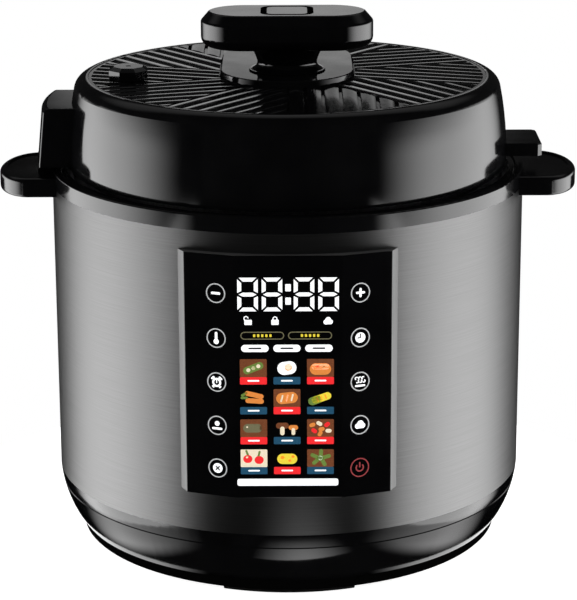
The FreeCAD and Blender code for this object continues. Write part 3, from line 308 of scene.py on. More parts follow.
# %% [markdown]
# ## Materials with a grain
# Most finishes here are one colour at first sight: moulded plastic, rubber, cast metal, silicone. Up
# close each has a grain that shifts its colour a little, changes its gloss and makes it slightly uneven.
# One noise pattern, sized in millimetres from the real grain, drives all three. Numbers that are the
# same all over the surface are typed into the shader itself, so that the export keeps them.

# %% A grained finish
GRAIN_ENDS = (0.3, 0.7)
GRAIN_DETAIL = 4.0


def drive(tree, pattern, tints, tint_ends, rough, rough_ends, depth_mm):
    """Let one pattern shift the colour, the gloss and the height of a surface."""
    tint = add_node(tree, "ShaderNodeValToRGB", {"Fac": pattern})
    for element, end, colour in zip(tint.color_ramp.elements, tint_ends, tints):
        element.position = end
        element.color = linear(colour)
    gloss = add_node(tree, "ShaderNodeMapRange", {"Value": pattern, "From Min": rough_ends[0],
                     "From Max": rough_ends[1], "To Min": rough[0], "To Max": rough[1]})
    relief = add_node(tree, "ShaderNodeBump", {"Height": pattern, "Distance": depth_mm * MM})
    shader = tree.nodes["Principled BSDF"]
    for made, socket in ((tint, "Base Color"), (gloss, "Roughness"), (relief, "Normal")):
        tree.links.new(made.outputs[0], shader.inputs[socket])
    return shader


def grained(name, low, high, grain_mm, rough, depth_mm, **sockets):
    """rough is the range of roughness, depth_mm the height of the grain."""
    made = bpy.data.materials.new(name)
    made.use_nodes = True
    tree = made.node_tree
    place = add_node(tree, "ShaderNodeTexCoord").outputs["Object"]
    grain = add_node(tree, "ShaderNodeTexNoise", {"Vector": place, "Scale": 1 / (grain_mm * MM),
                                                  "Detail": GRAIN_DETAIL})
    shader = drive(tree, grain.outputs[0], (low, high), GRAIN_ENDS, rough, GRAIN_ENDS, depth_mm)
    for socket, value in sockets.items():
        shader.inputs[socket.replace("_", " ")].default_value = value
    return made


# ABS moulded in a polished tool: deep black, mirror-like, with the faint waves of cooling plastic.
gloss_black = grained("polished_black_abs", "#060607", "#0b0b0c", 22, (0.07, 0.12), 0.008, IOR=1.52)
# The ribbed disc comes from a lightly blasted tool: black, with a slightly softer shine along each rib.
ribbed_black = grained("blasted_black_abs", "#060607", "#0c0c0d", 3.0, (0.09, 0.13), 0.001, IOR=1.52)
# The same plastic from a spark-eroded tool: a fine dull grain that hides handling.
satin_black = grained("eroded_black_abs", "#0c0c0d", "#18181a", 0.9, (0.45, 0.6), 0.02, IOR=1.52)
# Polypropylene from a coarse tool, where nobody looks: a sooty black without a shine.
dull_black = grained("textured_black_polypropylene", "#050505", "#0a0a0a", 0.7, (0.55, 0.7), 0.04,
                     Specular_IOR_Level=0.0)
# Nitrile rubber: dull, slightly grey, dusty.
rubber = grained("moulded_black_rubber", "#0e0e0e", "#1c1c1b", 1.4, (0.6, 0.8), 0.05, IOR=1.52)
# Die-cast aluminium: pale, granular skin from the mould.
cast_metal = grained("die_cast_aluminium", "#9a9b9d", "#b9babc", 1.6, (0.38, 0.52), 0.05, Metallic=1.0)
# Deep-drawn steel: smooth with soft drawing marks.
pressed_metal = grained("drawn_steel_sheet", "#7b7c7e", "#8f9092", 9, (0.26, 0.36), 0.02, Metallic=1.0)
# Turned and polished steel: bright, with only a breath of haze.
bright_metal = grained("polished_steel", "#c4c5c7", "#d4d5d6", 6, (0.1, 0.18), 0.005, Metallic=1.0)
# Zinc-plated steel: yellowish-blue passivated skin.
zinc = grained("zinc_plated_steel", "#a7adb0", "#c3c1b0", 2.5, (0.28, 0.4), 0.01, Metallic=1.0)
# Fluoropolymer over aluminium: dark grey, waxy, sprayed in drops.
nonstick = grained("sprayed_nonstick_coating", "#2b2b2d", "#3b3b3d", 0.8, (0.34, 0.5), 0.02, IOR=1.38)
# Silicone rubber: milky, slightly see-through.
silicone = grained("moulded_silicone", "#cfd0cc", "#dedfda", 3, (0.4, 0.55), 0.02, IOR=1.41,
                   Subsurface_Weight=0.3, Subsurface_Scale=0.004)
# Solder mask over glass fibre: green with the weave just showing.
board = grained("green_solder_mask", "#123d22", "#1b5430", 1.0, (0.25, 0.4), 0.02, IOR=1.5)
# Brass blades: warm and bright.
brass = grained("rolled_brass", "#b8974c", "#d0b066", 2.0, (0.2, 0.32), 0.01, Metallic=1.0)
# Metallic lacquer on the panel's flanks: fine silver flake under a clear coat.
silver_paint = grained("silver_flake_lacquer", "#626262", "#707070", 0.6, (0.45, 0.55), 0.005, Metallic=0.45)
# Hardened glass printed black on its back: a flat, deep, mirror-like black.
panel_black = grained("back_printed_glass", "#040405", "#070708", 40, (0.05, 0.08), 0.002, IOR=1.5)
print("made", len(bpy.data.materials), "materials")

# %% [markdown]
# ## Brushed steel
# The body is a sheet of stainless steel that was brushed along its length before it was rolled round.
# Its lines run round the body, so the pattern follows a UV map that is measured along the sheet: across
# is the way round and up is the height, both in metres. Long thin noise along the lines shifts colour,
# gloss and height. The real lines are a few hundredths of a millimetre apart, too fine for the picture,
# so they are drawn about half a millimetre apart. The lines stretch every highlight upright, and the
# tint for flat angles takes some shine from the body's outer edges, as in the picture.

# %% Brushed steel
LINE_LONG_MM = 45.0
LINE_APART_MM = 0.5
LINE_DEEP_MM = 0.006
LINE_TINTS = ("#757575", "#838383")
LINE_ENDS = (0.25, 0.75)
LINE_ROUGH = (0.46, 0.54)
LINE_DETAIL = 3.0
HIGHLIGHT_STRETCH = 0.9
QUARTER_TURN = 0.25
EDGE_TINT = (0.7, 0.7, 0.7, 1.0)

brushed = bpy.data.materials.new("brushed_stainless_sheet")
brushed.use_nodes = True
tree = brushed.node_tree
sheet_uv = add_node(tree, "ShaderNodeUVMap", uv_map="sheet")
along = add_node(tree, "ShaderNodeMapping", {"Vector": sheet_uv.outputs[0],
                 "Scale": (1 / (LINE_LONG_MM * MM), 1 / (LINE_APART_MM * MM), 1.0)})
lines = add_node(tree, "ShaderNodeTexNoise", {"Vector": along.outputs[0], "Scale": 1.0,
                                              "Detail": LINE_DETAIL})
shader = drive(tree, lines.outputs[0], LINE_TINTS, LINE_ENDS, LINE_ROUGH, (0.0, 1.0), LINE_DEEP_MM)
shader.inputs["Metallic"].default_value = 1.0
shader.inputs["Anisotropic"].default_value = HIGHLIGHT_STRETCH
shader.inputs["Anisotropic Rotation"].default_value = QUARTER_TURN
shader.inputs["Specular Tint"].default_value = EDGE_TINT
tangent = add_node(tree, "ShaderNodeTangent", direction_type="UV_MAP", uv_map="sheet")
tree.links.new(tangent.outputs[0], shader.inputs["Tangent"])
print("brushed steel, lines", LINE_APART_MM, "mm apart")

# %% [markdown]
# ## Finishes on the CAD pieces
# Every solid gets its finish here, one finish for all the material slots of a node. Solids that a new
# piece stands for later, such as the steel wrap, get one too.

# %% Finishes on the CAD pieces
finishes = {
    rubber: ["feet"],
    satin_black: ["power_inlet"],
    dull_black: ["bottom_cover"],
    ribbed_black: ["lid_disc"],
    gloss_black: ["base_housing", "lower_ring", "upper_ring", "rim_trim", "right_handle", "left_handle",
                  "lid_cover", "centre_plate", "hinge_block", "lift_ear", "pressure_valve",
                  "knob_grip", "knob_cap", "release_button"],
    zinc: ["base_screws", "handle_screws", "board_screws", "lid_screws"],
    bright_metal: ["hinge_pin", "heater_terminals", "sensor_spring", "button_spring", "exhaust_pipe",
                   "pipe_nut", "lever_pin", "float_pin", "drive_shaft", "shaft_nut", "push_rod"],
    pressed_metal: ["outer_pot", "pressure_lid", "sensor_bracket", "gasket_ring", "pipe_shield",
                    "lever_bracket", "release_lever", "steel_wrap"],
    cast_metal: ["bayonet_ring", "heater_plate", "sensor_cap", "lock_ring"],
    nonstick: ["inner_pot"],
    panel_black: ["panel_glass"],
    silver_paint: ["panel_bezel"],
    board: ["display_board", "power_board"],
    brass: ["inlet_pins"],
    silicone: ["lid_gasket"],
}
for finish, names in finishes.items():
    for name in names:
        for held in nodes[name].material_slots:
            held.material = finish
left_over = sorted(set(nodes) - {name for names in finishes.values() for name in names})
print("finished", len(nodes) - len(left_over), "nodes, left over:", left_over)

# %% [markdown]
# ## New pieces
# A bmesh is a mesh in the making: its operators spin, extrude and bevel, and at the end it is written
# into an object. Every new piece says which body it rides on, whose finish it shares and which CAD
# nodes it stands for. Faces are smooth, apart from folds sharper than an angle.

# %% Pieces from bmesh
SHARP_DEG = 35.0


def to_piece(name, bm, material, body, slot, *stands_for, sharp_deg=SHARP_DEG):
    mesh = bpy.data.meshes.new(name)
    for face in bm.faces:
        face.smooth = True
    bm.to_mesh(mesh)
    bm.free()
    mesh.set_sharp_from_angle(angle=math.radians(sharp_deg))
    mesh.materials.append(material)
    made = bpy.data.objects.new(name, mesh)
    bpy.context.scene.collection.objects.link(made)
    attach(made, body)
    if stands_for:
        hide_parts(*stands_for)
    print(name, len(mesh.polygons), "faces")
    return made


print("folds over", SHARP_DEG, "degrees stay sharp")

# %% [markdown]
# ## The steel body
# The wrap is one sheet rolled into a tube, with a window behind the panel. It could be cut from a
# cylinder, but spinning one upright line of vertices round the axis gives clean bands of faces, and the
# faces in the window are simply deleted. A thickness is added last, and the UV map is measured off it.

# %% The steel body
low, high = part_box("steel_wrap")
WRAP_R = high.x
SHEET_T = 1.0 * MM
WINDOW_HALF_DEG = 20.0
WINDOW_MARGIN = 9.0 * MM
WRAP_STEPS = 180
panel_low, panel_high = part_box("panel_glass")

bm = bmesh.new()
heights = [low.z, panel_low.z + WINDOW_MARGIN, panel_high.z - WINDOW_MARGIN, high.z]
upright = [bm.verts.new((0, -WRAP_R, z)) for z in heights]
for a, b in zip(upright, upright[1:]):
    bm.edges.new((a, b))
bmesh.ops.spin(bm, geom=bm.verts[:] + bm.edges[:], cent=(0, 0, 0), axis=(0, 0, 1), angle=math.tau,
               steps=WRAP_STEPS, use_merge=True)
window = []
for face in bm.faces:
    middle = face.calc_center_median()
    turned = math.degrees(math.atan2(middle.x, -middle.y))
    if abs(turned) < WINDOW_HALF_DEG and heights[1] < middle.z < heights[2]:
        window.append(face)
bmesh.ops.delete(bm, geom=window, context="FACES")
bmesh.ops.recalc_face_normals(bm, faces=bm.faces[:])
bmesh.ops.solidify(bm, geom=bm.faces[:], thickness=SHEET_T)
bmesh.ops.recalc_face_normals(bm, faces=bm.faces[:])
uv = bm.loops.layers.uv.new("sheet")
for face in bm.faces:
    middle = face.calc_center_median()
    face_turn = math.atan2(middle.x, -middle.y)
    to_front = Matrix.Rotation(-face_turn, 3, "Z")
    for loop in face.loops:
        spot = to_front @ loop.vert.co
        turned = face_turn + math.atan2(spot.x, -spot.y)
        loop[uv].uv = (turned * WRAP_R, spot.z)
body_sheet = to_piece("steel_body", bm, brushed, "base", "brushed_steel", "steel_wrap")
print("steel body reaches", [round(x / MM, 1) for x in body_sheet.bound_box[6]])

# %% [markdown]
# ## Springs
# A compression spring is hardened wire wound along a screw line. A circle that climbs while it is spun about
# the axis leaves that tube behind it. Each spring is listed with its joint and how far that joint travels,
# which nothing here uses.

# %% Springs
WIRE_R = 0.7 * MM
WIRE_SIDES = 12
TURNS = 3
TURN_STEPS = 32
for node, body, joint, travel in (("button_spring", "knob", "button_press", 2.5 * MM),
                                  ("sensor_spring", "base", "sensor_plunge", 2.0 * MM)):
    low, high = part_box(node)
    middle = (low + high) / 2
    tall = high.z - low.z
    climb = (tall - 2 * WIRE_R) / (TURNS * TURN_STEPS)
    start = Matrix.Translation((high.x - WIRE_R, middle.y, low.z + WIRE_R))
    start = start @ Matrix.Rotation(math.pi / 2, 4, "X")
    bm = bmesh.new()
    bmesh.ops.create_circle(bm, cap_ends=False, radius=WIRE_R, segments=WIRE_SIDES, matrix=start)
    bmesh.ops.spin(bm, geom=bm.verts[:] + bm.edges[:], cent=middle, axis=(0, 0, 1), dvec=(0, 0, climb),
                   angle=TURNS * math.tau, steps=TURNS * TURN_STEPS)
    bmesh.ops.holes_fill(bm, edges=[edge for edge in bm.edges if edge.is_boundary], sides=WIRE_SIDES)
    bmesh.ops.recalc_face_normals(bm, faces=bm.faces[:])
    wire = to_piece(node + "_wire", bm, bright_metal, body, "polished_steel", node)
    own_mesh(wire)

# %% [markdown]
# ## The panel's glass
# The front is one pane of hardened glass in three flat facets. Its front outline is four vertices and
# three edges, drawn up to the panel's height, given a thickness and a fine ground edge. The pane stands
# a tenth of a millimetre behind the CAD face, which leaves room for the raised prints on it.

# %% The panel's glass
FOLD_X = 29.3 * MM
PRINT_T = 0.1 * MM
GLASS_T = 1.5 * MM
GROUND_EDGE = 0.3 * MM
GROUND_OVER_RAD = 0.7
FACET_SHARP_DEG = 15
low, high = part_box("panel_glass")
front = low.y + PRINT_T
side_y = high.y - GLASS_T

bm = bmesh.new()
corners = [(low.x, side_y), (-FOLD_X, front), (FOLD_X, front), (high.x, side_y)]
foot = [bm.verts.new((x, y, low.z)) for x, y in corners]
for a, b in zip(foot, foot[1:]):
    bm.edges.new((a, b))
raised = bmesh.ops.extrude_edge_only(bm, edges=bm.edges[:])["geom"]
raised_verts = [made for made in raised if isinstance(made, bmesh.types.BMVert)]
bmesh.ops.translate(bm, vec=(0, 0, high.z - low.z), verts=raised_verts)
bm.normal_update()
bmesh.ops.reverse_faces(bm, faces=[face for face in bm.faces if face.normal.y > 0])
bmesh.ops.solidify(bm, geom=bm.faces[:], thickness=GLASS_T)
ground = [edge for edge in bm.edges if edge.calc_face_angle() > GROUND_OVER_RAD]
bmesh.ops.bevel(bm, geom=ground, offset=GROUND_EDGE, affect="EDGES", segments=2, profile=0.5, material=-1)
pane = to_piece("panel_pane", bm, panel_black, "base", "black_panel", "panel_glass",
                sharp_deg=FACET_SHARP_DEG)
print("pane in mm from", *[[round(c / MM, 2) for c in pane.bound_box[corner]] for corner in (0, 6)])

# %% [markdown]
# ## Inks for the panel
# The signs are printed with inks that let the light behind the glass through, and every ink but the soot one
# glows. Their glow is partly that light from behind the glass and partly painted light, which keeps the
# prints bright in the dim light from the front. A fine speckle, drawn coarser than the real print's screen so
# that it shows, keeps them from looking cut out of paper. Each ink is one material and, later, one mesh.

# %% Inks for the panel
SCREEN_MM = 0.5
INK_ROUGH = (0.35, 0.5)
INK_DEEP_MM = 0.002


# The glow is partly the light behind the glass and partly painted light that brightens the prints.
def glowing_ink(name, low, high, glow):
    made = grained(name, low, high, SCREEN_MM, INK_ROUGH, INK_DEEP_MM, IOR=1.5, Emission_Strength=glow)
    tree = made.node_tree
    colour = tree.nodes["Color Ramp"].outputs[0]
    tree.links.new(colour, tree.nodes["Principled BSDF"].inputs["Emission Color"])
    return made


ink_of = {
    "white": glowing_ink("white_lit_ink", "#e6e8ea", "#f6f7f8", 0.8),
    "grey": glowing_ink("grey_lit_ink", "#b4b5b6", "#c6c7c8", 0.3),
    "red": glowing_ink("red_lit_ink", "#d0141a", "#e4252a", 0.8),
    "dim_red": glowing_ink("dim_red_lit_ink", "#7c2024", "#8c2a2e", 0.6),
    "blue": glowing_ink("blue_lit_ink", "#103a52", "#1a4a64", 0.8),
    "yellow": glowing_ink("yellow_lit_ink", "#c8b428", "#dcc83c", 0.8),
    "olive": glowing_ink("olive_lit_ink", "#5c5840", "#6c684c", 0.7),
    "orange": glowing_ink("orange_lit_ink", "#c8702a", "#e08c40", 0.6),
    "brown": glowing_ink("brown_lit_ink", "#5c3018", "#7a4424", 0.6),
    "cream": glowing_ink("cream_lit_ink", "#d8c8a8", "#ece0c8", 0.6),
    "green": glowing_ink("green_lit_ink", "#546c2c", "#6e8a3e", 0.6),
    "soot": glowing_ink("soot_print", "#060606", "#0a0a0a", 0.0),
}
print("made", len(ink_of), "inks")

# %% [markdown]
# ## Shapes for the signs
# Nearly every sign is made of rounded pads: a circle whose four quarters are moved apart is a disc, a
# pill or a bar. Two such outlines bridged together are a ring, and a ring with some faces deleted is an
# arc. They are drawn flat, then turned onto their facet of the panel. The layer says how high a print
# lies, in steps of a few hundredths of a millimetre, so that it can cover another.

# %% Shapes for the signs
ROUND_STEPS = 28
LAYER = 0.03 * MM
FACET_DEG = 19.25
stand_up = Matrix.Rotation(math.pi / 2, 4, "X")
facet_of = {"middle": Matrix.Translation((0, front, 0)) @ stand_up}
for name, side in (("left", -1), ("right", 1)):
    swing = Matrix.Rotation(side * math.radians(FACET_DEG), 4, "Z")
    facet_of[name] = Matrix.Translation((side * FOLD_X, front, 0)) @ swing @ stand_up
prints = {name: bmesh.new() for name in ink_of}


def outline(bm, wide, tall, corner, filled):
    start = Matrix.Rotation(math.pi / ROUND_STEPS, 4, "Z")
    verts = bmesh.ops.create_circle(bm, cap_ends=filled, radius=corner * MM, segments=ROUND_STEPS,
                                    matrix=start)["verts"]
    for axis, side_mm in enumerate((wide, tall)):
        for way in (-1, 1):
            move = Vector()
            move[axis] = way * (side_mm / 2 - corner) * MM
            bmesh.ops.translate(bm, vec=move, verts=[v for v in verts if v.co[axis] * way > 0])
    return verts


def put(bm, verts, facet, x, z, turn, layer):
    place = Matrix.Translation((x * MM, z * MM, layer * LAYER)) @ Matrix.Rotation(math.radians(turn), 4, "Z")
    bmesh.ops.transform(bm, matrix=facet_of[facet] @ place, verts=verts)


def pad(ink, facet, x, z, wide, tall, corner=None, turn=0.0, layer=1):
    bm = prints[ink]
    put(bm, outline(bm, wide, tall, corner or min(wide, tall) / 2, True), facet, x, z, turn, layer)


def ring(ink, facet, x, z, wide, tall, line, turn=0.0, gap_deg=0.0, layer=1):
    """A gap is centred at the top, before the ring is turned."""
    bm = prints[ink]
    corner = min(wide, tall) / 2
    verts = outline(bm, wide, tall, corner, False)
    verts += outline(bm, wide - 2 * line, tall - 2 * line, corner - line, False)
    bmesh.ops.bridge_loops(bm, edges=list({edge for v in verts for edge in v.link_edges}))
    gone = []
    for face in {face for v in verts for face in v.link_faces}:
        middle = face.calc_center_median()
        if abs(math.degrees(math.atan2(middle.x, middle.y))) < gap_deg / 2:
            gone.append(face)
    bmesh.ops.delete(bm, geom=gone, context="FACES")
    put(bm, [v for v in verts if v.is_valid], facet, x, z, turn, layer)


print("facets", list(facet_of), "and", ROUND_STEPS, "steps round a corner")

# %% [markdown]
# ## The clock's digits
# A digit of seven bars is two squares on top of each other. Insetting the squares leaves a frame of bars
# with mitred corners. The two bars between the squares become one, which has six corners and is pressed
# to a single bar's height. A second inset opens the dark gaps between the bars.

# %% The clock's digits
DIGIT_X = (-21.76, -8.63, 8.57, 21.78)
DIGIT_Z = 186.8
DIGIT_W = 12.2
DIGIT_H = 19.95
STROKE = 3.3
BAR_GAP = 0.58
WAIST_CORNERS = 6
COLON_W = 3.0
COLON_H = 4.0
COLON_CORNER = 0.4
COLON_RISE = 3.75

for x in DIGIT_X:
    bm = prints["white"]
    size = Matrix.Diagonal((DIGIT_W / 2 * MM, DIGIT_H / 2 * MM, 1, 1))
    verts = bmesh.ops.create_grid(bm, x_segments=1, y_segments=2, size=1.0, matrix=size)["verts"]
    squares = list({face for v in verts for face in v.link_faces})
    bars = bmesh.ops.inset_individual(bm, faces=squares, thickness=STROKE * MM, use_even_offset=True)["faces"]
    bmesh.ops.delete(bm, geom=squares, context="FACES_ONLY")
    shared = [edge for face in bars for edge in face.edges
              if all(abs(v.co.y) < LAYER for v in edge.verts) and len(edge.link_faces) == 2]
    bmesh.ops.dissolve_edges(bm, edges=list(set(shared)))
    bars = list({face for v in verts for face in v.link_faces})
    waist = [face for face in bars if len(face.verts) == WAIST_CORNERS]
    bmesh.ops.scale(bm, vec=(1, 0.5, 1), verts=list({v for face in waist for v in face.verts}))
    rims = bmesh.ops.inset_individual(bm, faces=bars, thickness=BAR_GAP * MM, use_even_offset=True)["faces"]
    bmesh.ops.delete(bm, geom=rims, context="FACES")
    put(bm, list({v for face in bars for v in face.verts}), "middle", x, DIGIT_Z, 0, 1)
for z in (DIGIT_Z - COLON_RISE, DIGIT_Z + COLON_RISE):
    pad("white", "middle", 0, z, COLON_W, COLON_H, COLON_CORNER)
print("digits", DIGIT_H, "mm high")

# %% [markdown]
# ## Touch signs on the side facets
# Each side facet carries five round touch fields. Each is a thin ring with a plain sign in it that any
# cooker could have: less and more, heat, time, warmth, steam, stop and power. A sign is a list of
# shapes, each with its ink, its place from the field's middle, its width and its height in millimetres.

# %% Touch signs on the side facets
FIELD_U = 10.3
FIELD_Z = (186.7, 161.4, 136.4, 111.5, 86.7)
FIELD_W = 11.1
FIELD_LINE = 0.65
less = [(pad, "white", 0, 0, 5.4, 1.4, {})]
more = [(pad, "white", 0, 0, 5.2, 1.3, {}), (pad, "white", 0, 0, 1.3, 5.2, {})]
heat = [(pad, "white", 0, 0.8, 1.5, 5.4, {}), (pad, "white", 0, -1.9, 3.0, 3.0, {})]
clock = [(pad, "white", 0, 0, 5.8, 5.8, {}), (pad, "soot", 0, 1.0, 0.7, 2.6, {"layer": 2}),
         (pad, "soot", -0.7, -0.1, 2.1, 0.7, {"layer": 2})]
alarm = [(ring, "white", 0, -0.2, 5.2, 5.2, {"line": 1.1}), (pad, "white", 0, 0.3, 0.6, 1.8, {})]
for side in (-1, 1):
    alarm += [(pad, "white", 2.2 * side, 2.3, 2.4, 1.2, {"turn": -40 * side}),
              (pad, "white", 2.0 * side, -2.7, 1.6, 0.9, {"turn": 40 * side})]
steam = []
for k in (-1, 0, 1):
    steam += [(ring, "white", 1.9 * k, 1.9, 1.9, 2.6, {"line": 0.65, "turn": -90, "gap_deg": 180}),
              (ring, "white", 1.9 * k + 0.05, 0.1, 1.9, 2.6, {"line": 0.65, "turn": 90, "gap_deg": 180})]
steam += [(pad, "white", 0, -2.4, 6.0, 1.1, {})]
warm = [(pad, "white", 0, 1.1, 2.8, 2.8, {}), (pad, "white", 0, -1.8, 6.0, 1.3, {})]
cloud = [(pad, "white", -1.4, -0.6, 3.0, 3.0, {}), (pad, "white", 0.3, 0.7, 3.6, 3.6, {}),
         (pad, "white", 1.7, -0.5, 2.8, 2.8, {}), (pad, "white", 0.1, -1.4, 4.8, 1.3, {})]
stop = [(pad, "white", 0, 0, 5.6, 5.6, {})]
stop += [(pad, "soot", 0, 0, 3.6, 0.8, {"turn": turn, "layer": 2}) for turn in (45, -45)]
power = [(ring, "dim_red", 0, 0, 5.0, 5.0, {"line": 0.8, "gap_deg": 80}),
         (pad, "dim_red", 0, 1.6, 0.8, 3.2, {})]

fields = {"left": [less, heat, alarm, warm, stop], "right": [more, clock, steam, cloud, power]}
for facet, side in (("left", -1), ("right", 1)):
    for sign, z in zip(fields[facet], FIELD_Z):
        ring("dim_red" if sign is power else "grey", facet, side * FIELD_U, z, FIELD_W, FIELD_W, FIELD_LINE)
for row, z in enumerate(FIELD_Z):
    for facet, side in (("left", -1), ("right", 1)):
        for shape, ink, dx, dz, wide, tall, more_about in fields[facet][row]:
            shape(ink, facet, side * FIELD_U + dx, z + dz, wide, tall, **more_about)
print(sum(len(signs) for signs in fields.values()), "touch fields")

# %% [markdown]
# ## Signs on the middle facet
# Under the digits are three small lamps, a row of two outlined lamps and a row of three white ones. Here
# they are plain shapes without words. The bar at the bottom is the start field.

# %% Signs on the middle facet
LOCK_Z = 171.9
LOCKS = ((-21.6, 1.0, 30), (-7.1, 0.0, 0))  # x, and how far the shackle is lifted and tilted
LOCK_BODY = (4.0, 2.9, 0.4)  # width, height and corner
LOCK_BODY_DROP = 0.7
SHACKLE = (2.7, 3.2, 0.55)  # width, height and line
SHACKLE_RISE = 1.0
SHACKLE_GAP_DEG = 160
PUFFS = ((20.3, 171.3, 1.3), (21.6, 172.6, 1.5), (22.9, 171.5, 1.2))  # x, z and radius
PUFF_FOOT = (21.6, 170.6, 4.2, 1.2)  # x, z, width and height
FRAME_Z = 163.7
FRAMES = ((-14.0, 23.6), (11.8, 23.8))  # x and width
FRAME_H = 4.4
FRAME_LINE = 0.5
FRAME_DASH = (1.2, 1.6, 0.3)  # width, height and corner
DASH_STEP = 2.2
PILL_Z = 156.5
PILLS = ((-18.06, 14.9), (-0.74, 14.7), (16.6, 14.9))  # x and width
PILL_H = 4.1
PILL_DASH = (7.0, 0.9)  # width and height
START = (-0.5, 79.5, 55.4, 4.1, 1.2)  # x, z, width, height and corner

for x, lift, tilt in LOCKS:
    pad("white", "middle", x, LOCK_Z - LOCK_BODY_DROP, *LOCK_BODY)
    ring("white", "middle", x - lift, LOCK_Z + SHACKLE_RISE + lift / 3, *SHACKLE, turn=180 + tilt,
         gap_deg=SHACKLE_GAP_DEG)
for x, z, r in PUFFS:
    pad("white", "middle", x, z, 2 * r, 2 * r)
pad("white", "middle", *PUFF_FOOT)
for x, wide in FRAMES:
    ring("olive", "middle", x, FRAME_Z, wide, FRAME_H, FRAME_LINE)
    for k in range(-2, 3):
        pad("yellow", "middle", x + DASH_STEP * k, FRAME_Z, *FRAME_DASH)
for x, wide in PILLS:
    pad("white", "middle", x, PILL_Z, wide, PILL_H)
    pad("soot", "middle", x, PILL_Z, *PILL_DASH, layer=2)
pad("white", "middle", *START)
print(len(LOCKS), "locks,", len(FRAMES), "frames,", len(PILLS), "pills and the start field")

# %% [markdown]
# ## Picture tiles
# Twelve small tiles stand for the cooking programs. The pictures are simple flat drawings of food in
# warm colours, built from the same pads: the list of each tile gives an ink, a place from the tile's
# middle, a width, a height and a turn.

# %% Drawings for the tiles
pea_pod = [("green", 0, 0, 11.5, 4.2, 22)] + [("cream", 2.7 * k, 1.1 * k, 2.2, 2.2, 0) for k in (-1, 0, 1)]
egg = [("white", 0, 0, 10.4, 7.4, 8), ("orange", 0.8, 0.4, 4.0, 4.0, 0)]
soup = [("orange", 0, -0.6, 11.6, 6.6, 0), ("cream", 0, 0.7, 9.6, 3.2, 0), ("red", -1.6, 0.8, 2.2, 1.0, 0),
        ("green", 1.6, 0.6, 1.8, 0.8, 20)]
carrots = [("green", -5.0, 2.2, 4.0, 1.4, 30), ("green", -5.0, 0.2, 4.0, 1.4, 0),
           ("orange", 0.4, 1.8, 10.4, 2.8, -14), ("orange", 0.6, -1.6, 10.0, 2.8, -4)]
loaf = [("orange", 0, 0, 11.8, 6.4, 6)] + [("cream", 2.8 * k, 0.3 * k, 0.9, 4.2, -14) for k in (-1, 0, 1)]
corn = [("green", -3.0, -1.4, 7.5, 4.6, 20), ("yellow", 0.6, 0, 11.0, 4.2, 20)]
corn += [("orange", 0.6 + 2.2 * k, 0.8 * k, 0.7, 3.0, 20) for k in (-1, 0, 1)]
fish = [("brown", 4.8, 1.4, 4.0, 1.5, 50), ("brown", 4.8, -1.4, 4.0, 1.5, -50),
        ("olive", -0.6, 0, 10.4, 5.0, 0), ("cream", -3.6, 0.7, 1.0, 1.0, 0)]
mushrooms = [("cream", -2.6, -1.6, 2.4, 5.0, 0), ("brown", -2.6, 1.4, 7.0, 3.4, 0),
             ("cream", 3.4, -2.0, 2.0, 4.0, 0), ("orange", 3.4, 0.3, 5.2, 2.8, 0)]
beans = [(ink, x, z, 3.4, 2.2, turn) for ink, x, z, turn in (
    ("orange", -4.4, 1.8, 20), ("cream", -0.6, 2.6, -30), ("red", 3.6, 2.0, 40), ("red", -3.4, -1.6, -40),
    ("orange", 0.6, -0.6, 10), ("cream", 4.4, -1.6, 0), ("orange", -0.2, -3.2, 60))]
radishes = [("red", -3.4, -0.4, 5.0, 4.6, 0), ("red", 2.8, -1.0, 5.0, 4.6, 0),
            ("green", -3.8, 3.2, 1.2, 3.4, 20), ("green", 2.8, 2.6, 1.2, 3.4, -14),
            ("cream", -3.8, 0.6, 1.4, 1.0, 30)]
cheese = [("yellow", 0, -0.4, 11.0, 6.0, 0), ("orange", -2.6, 0.4, 2.2, 1.8, 0),
          ("orange", 1.4, -1.4, 1.6, 1.4, 0), ("orange", 3.2, 0.9, 1.8, 1.4, 0)]
leaves = [("green", 4.2 * math.cos(a) * 0.7, 2.2 * math.sin(a), 6.0, 2.2, math.degrees(a))
          for a in (0.3, 1.5, 2.7, 3.9, 5.2)] + [("white", 0, 0, 2.6, 2.6, 0)]
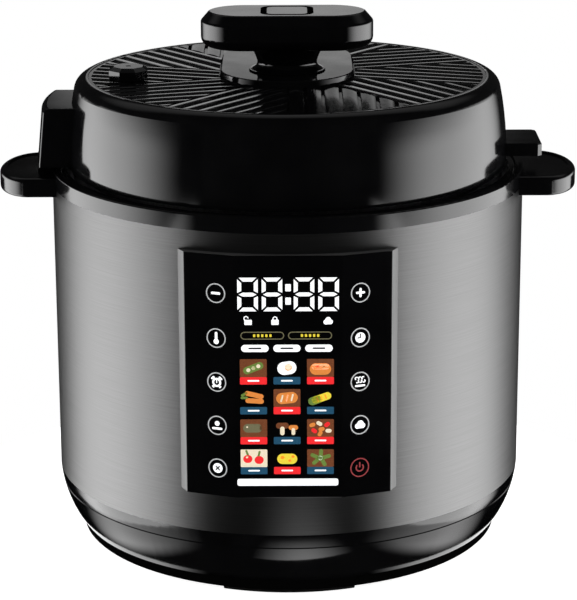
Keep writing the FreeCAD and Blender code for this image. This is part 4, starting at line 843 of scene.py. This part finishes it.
tiles = [(pea_pod, "brown"), (egg, "soot"), (soup, "brown"), (carrots, "soot"), (loaf, "brown"),
         (corn, "soot"), (fish, "brown"), (mushrooms, "soot"), (beans, "brown"), (radishes, "cream"),
         (cheese, "soot"), (leaves, "brown")]
print(len(tiles), "drawings with their grounds")

# %% [markdown]
# ## Tiles on the panel
# Each drawing stands on its coloured ground, or straight on the black glass where the ground is soot.
# A coloured strip below it, red and blue by turns, takes the place of the program's name. Cream prints
# off the middle of a drawing lie one layer higher, because they cover other prints. All other inks of a
# drawing share one layer, so the colours can mix where two of them overlap.

# %% Tiles on the panel
TILE_W = 14.6
TILE_H = 14.4
TILE_CORNER = 0.6
STRIP_H = 4.2
STRIP_DASH = (6.4, 0.9)  # width and height
TILE_X = (-19.0, -0.8, 17.4)
TILE_Z = (143.2, 126.1, 108.8, 91.4)
for k, (picture, ground) in enumerate(tiles):
    row, column = divmod(k, len(TILE_X))
    x, z = TILE_X[column], TILE_Z[row]
    strip_z = z - (TILE_H - STRIP_H) / 2
    picture_z = z + STRIP_H / 2
    pad("red" if (row + column) % 2 == 0 else "blue", "middle", x, strip_z, TILE_W, STRIP_H, TILE_CORNER)
    pad("white", "middle", x, strip_z, *STRIP_DASH, layer=2)
    if ground != "soot":
        pad(ground, "middle", x, picture_z, TILE_W, TILE_H - STRIP_H, TILE_CORNER)
    for ink, dx, dz, wide, tall, turn in picture:
        layer = 3 if ink == "cream" and dx != 0 else 2
        pad(ink, "middle", x + dx, picture_z + dz, wide, tall, turn=turn, layer=layer)
print(len(tiles), "tiles in", len(TILE_Z), "rows")

# %% [markdown]
# ## From drawings to prints
# Until now every sign is a flat face. Each ink's faces are turned to the front, given a thickness that
# ends inside the glass, and made a piece of the base.

# %% From drawings to prints
PRINT_DEEP = 0.2 * MM
for name, bm in prints.items():
    bm.normal_update()
    bmesh.ops.reverse_faces(bm, faces=[face for face in bm.faces if face.normal.y > 0])
    bmesh.ops.solidify(bm, geom=bm.faces[:], thickness=PRINT_DEEP)
    to_piece("print_" + name, bm, ink_of[name], "base", "black_panel")
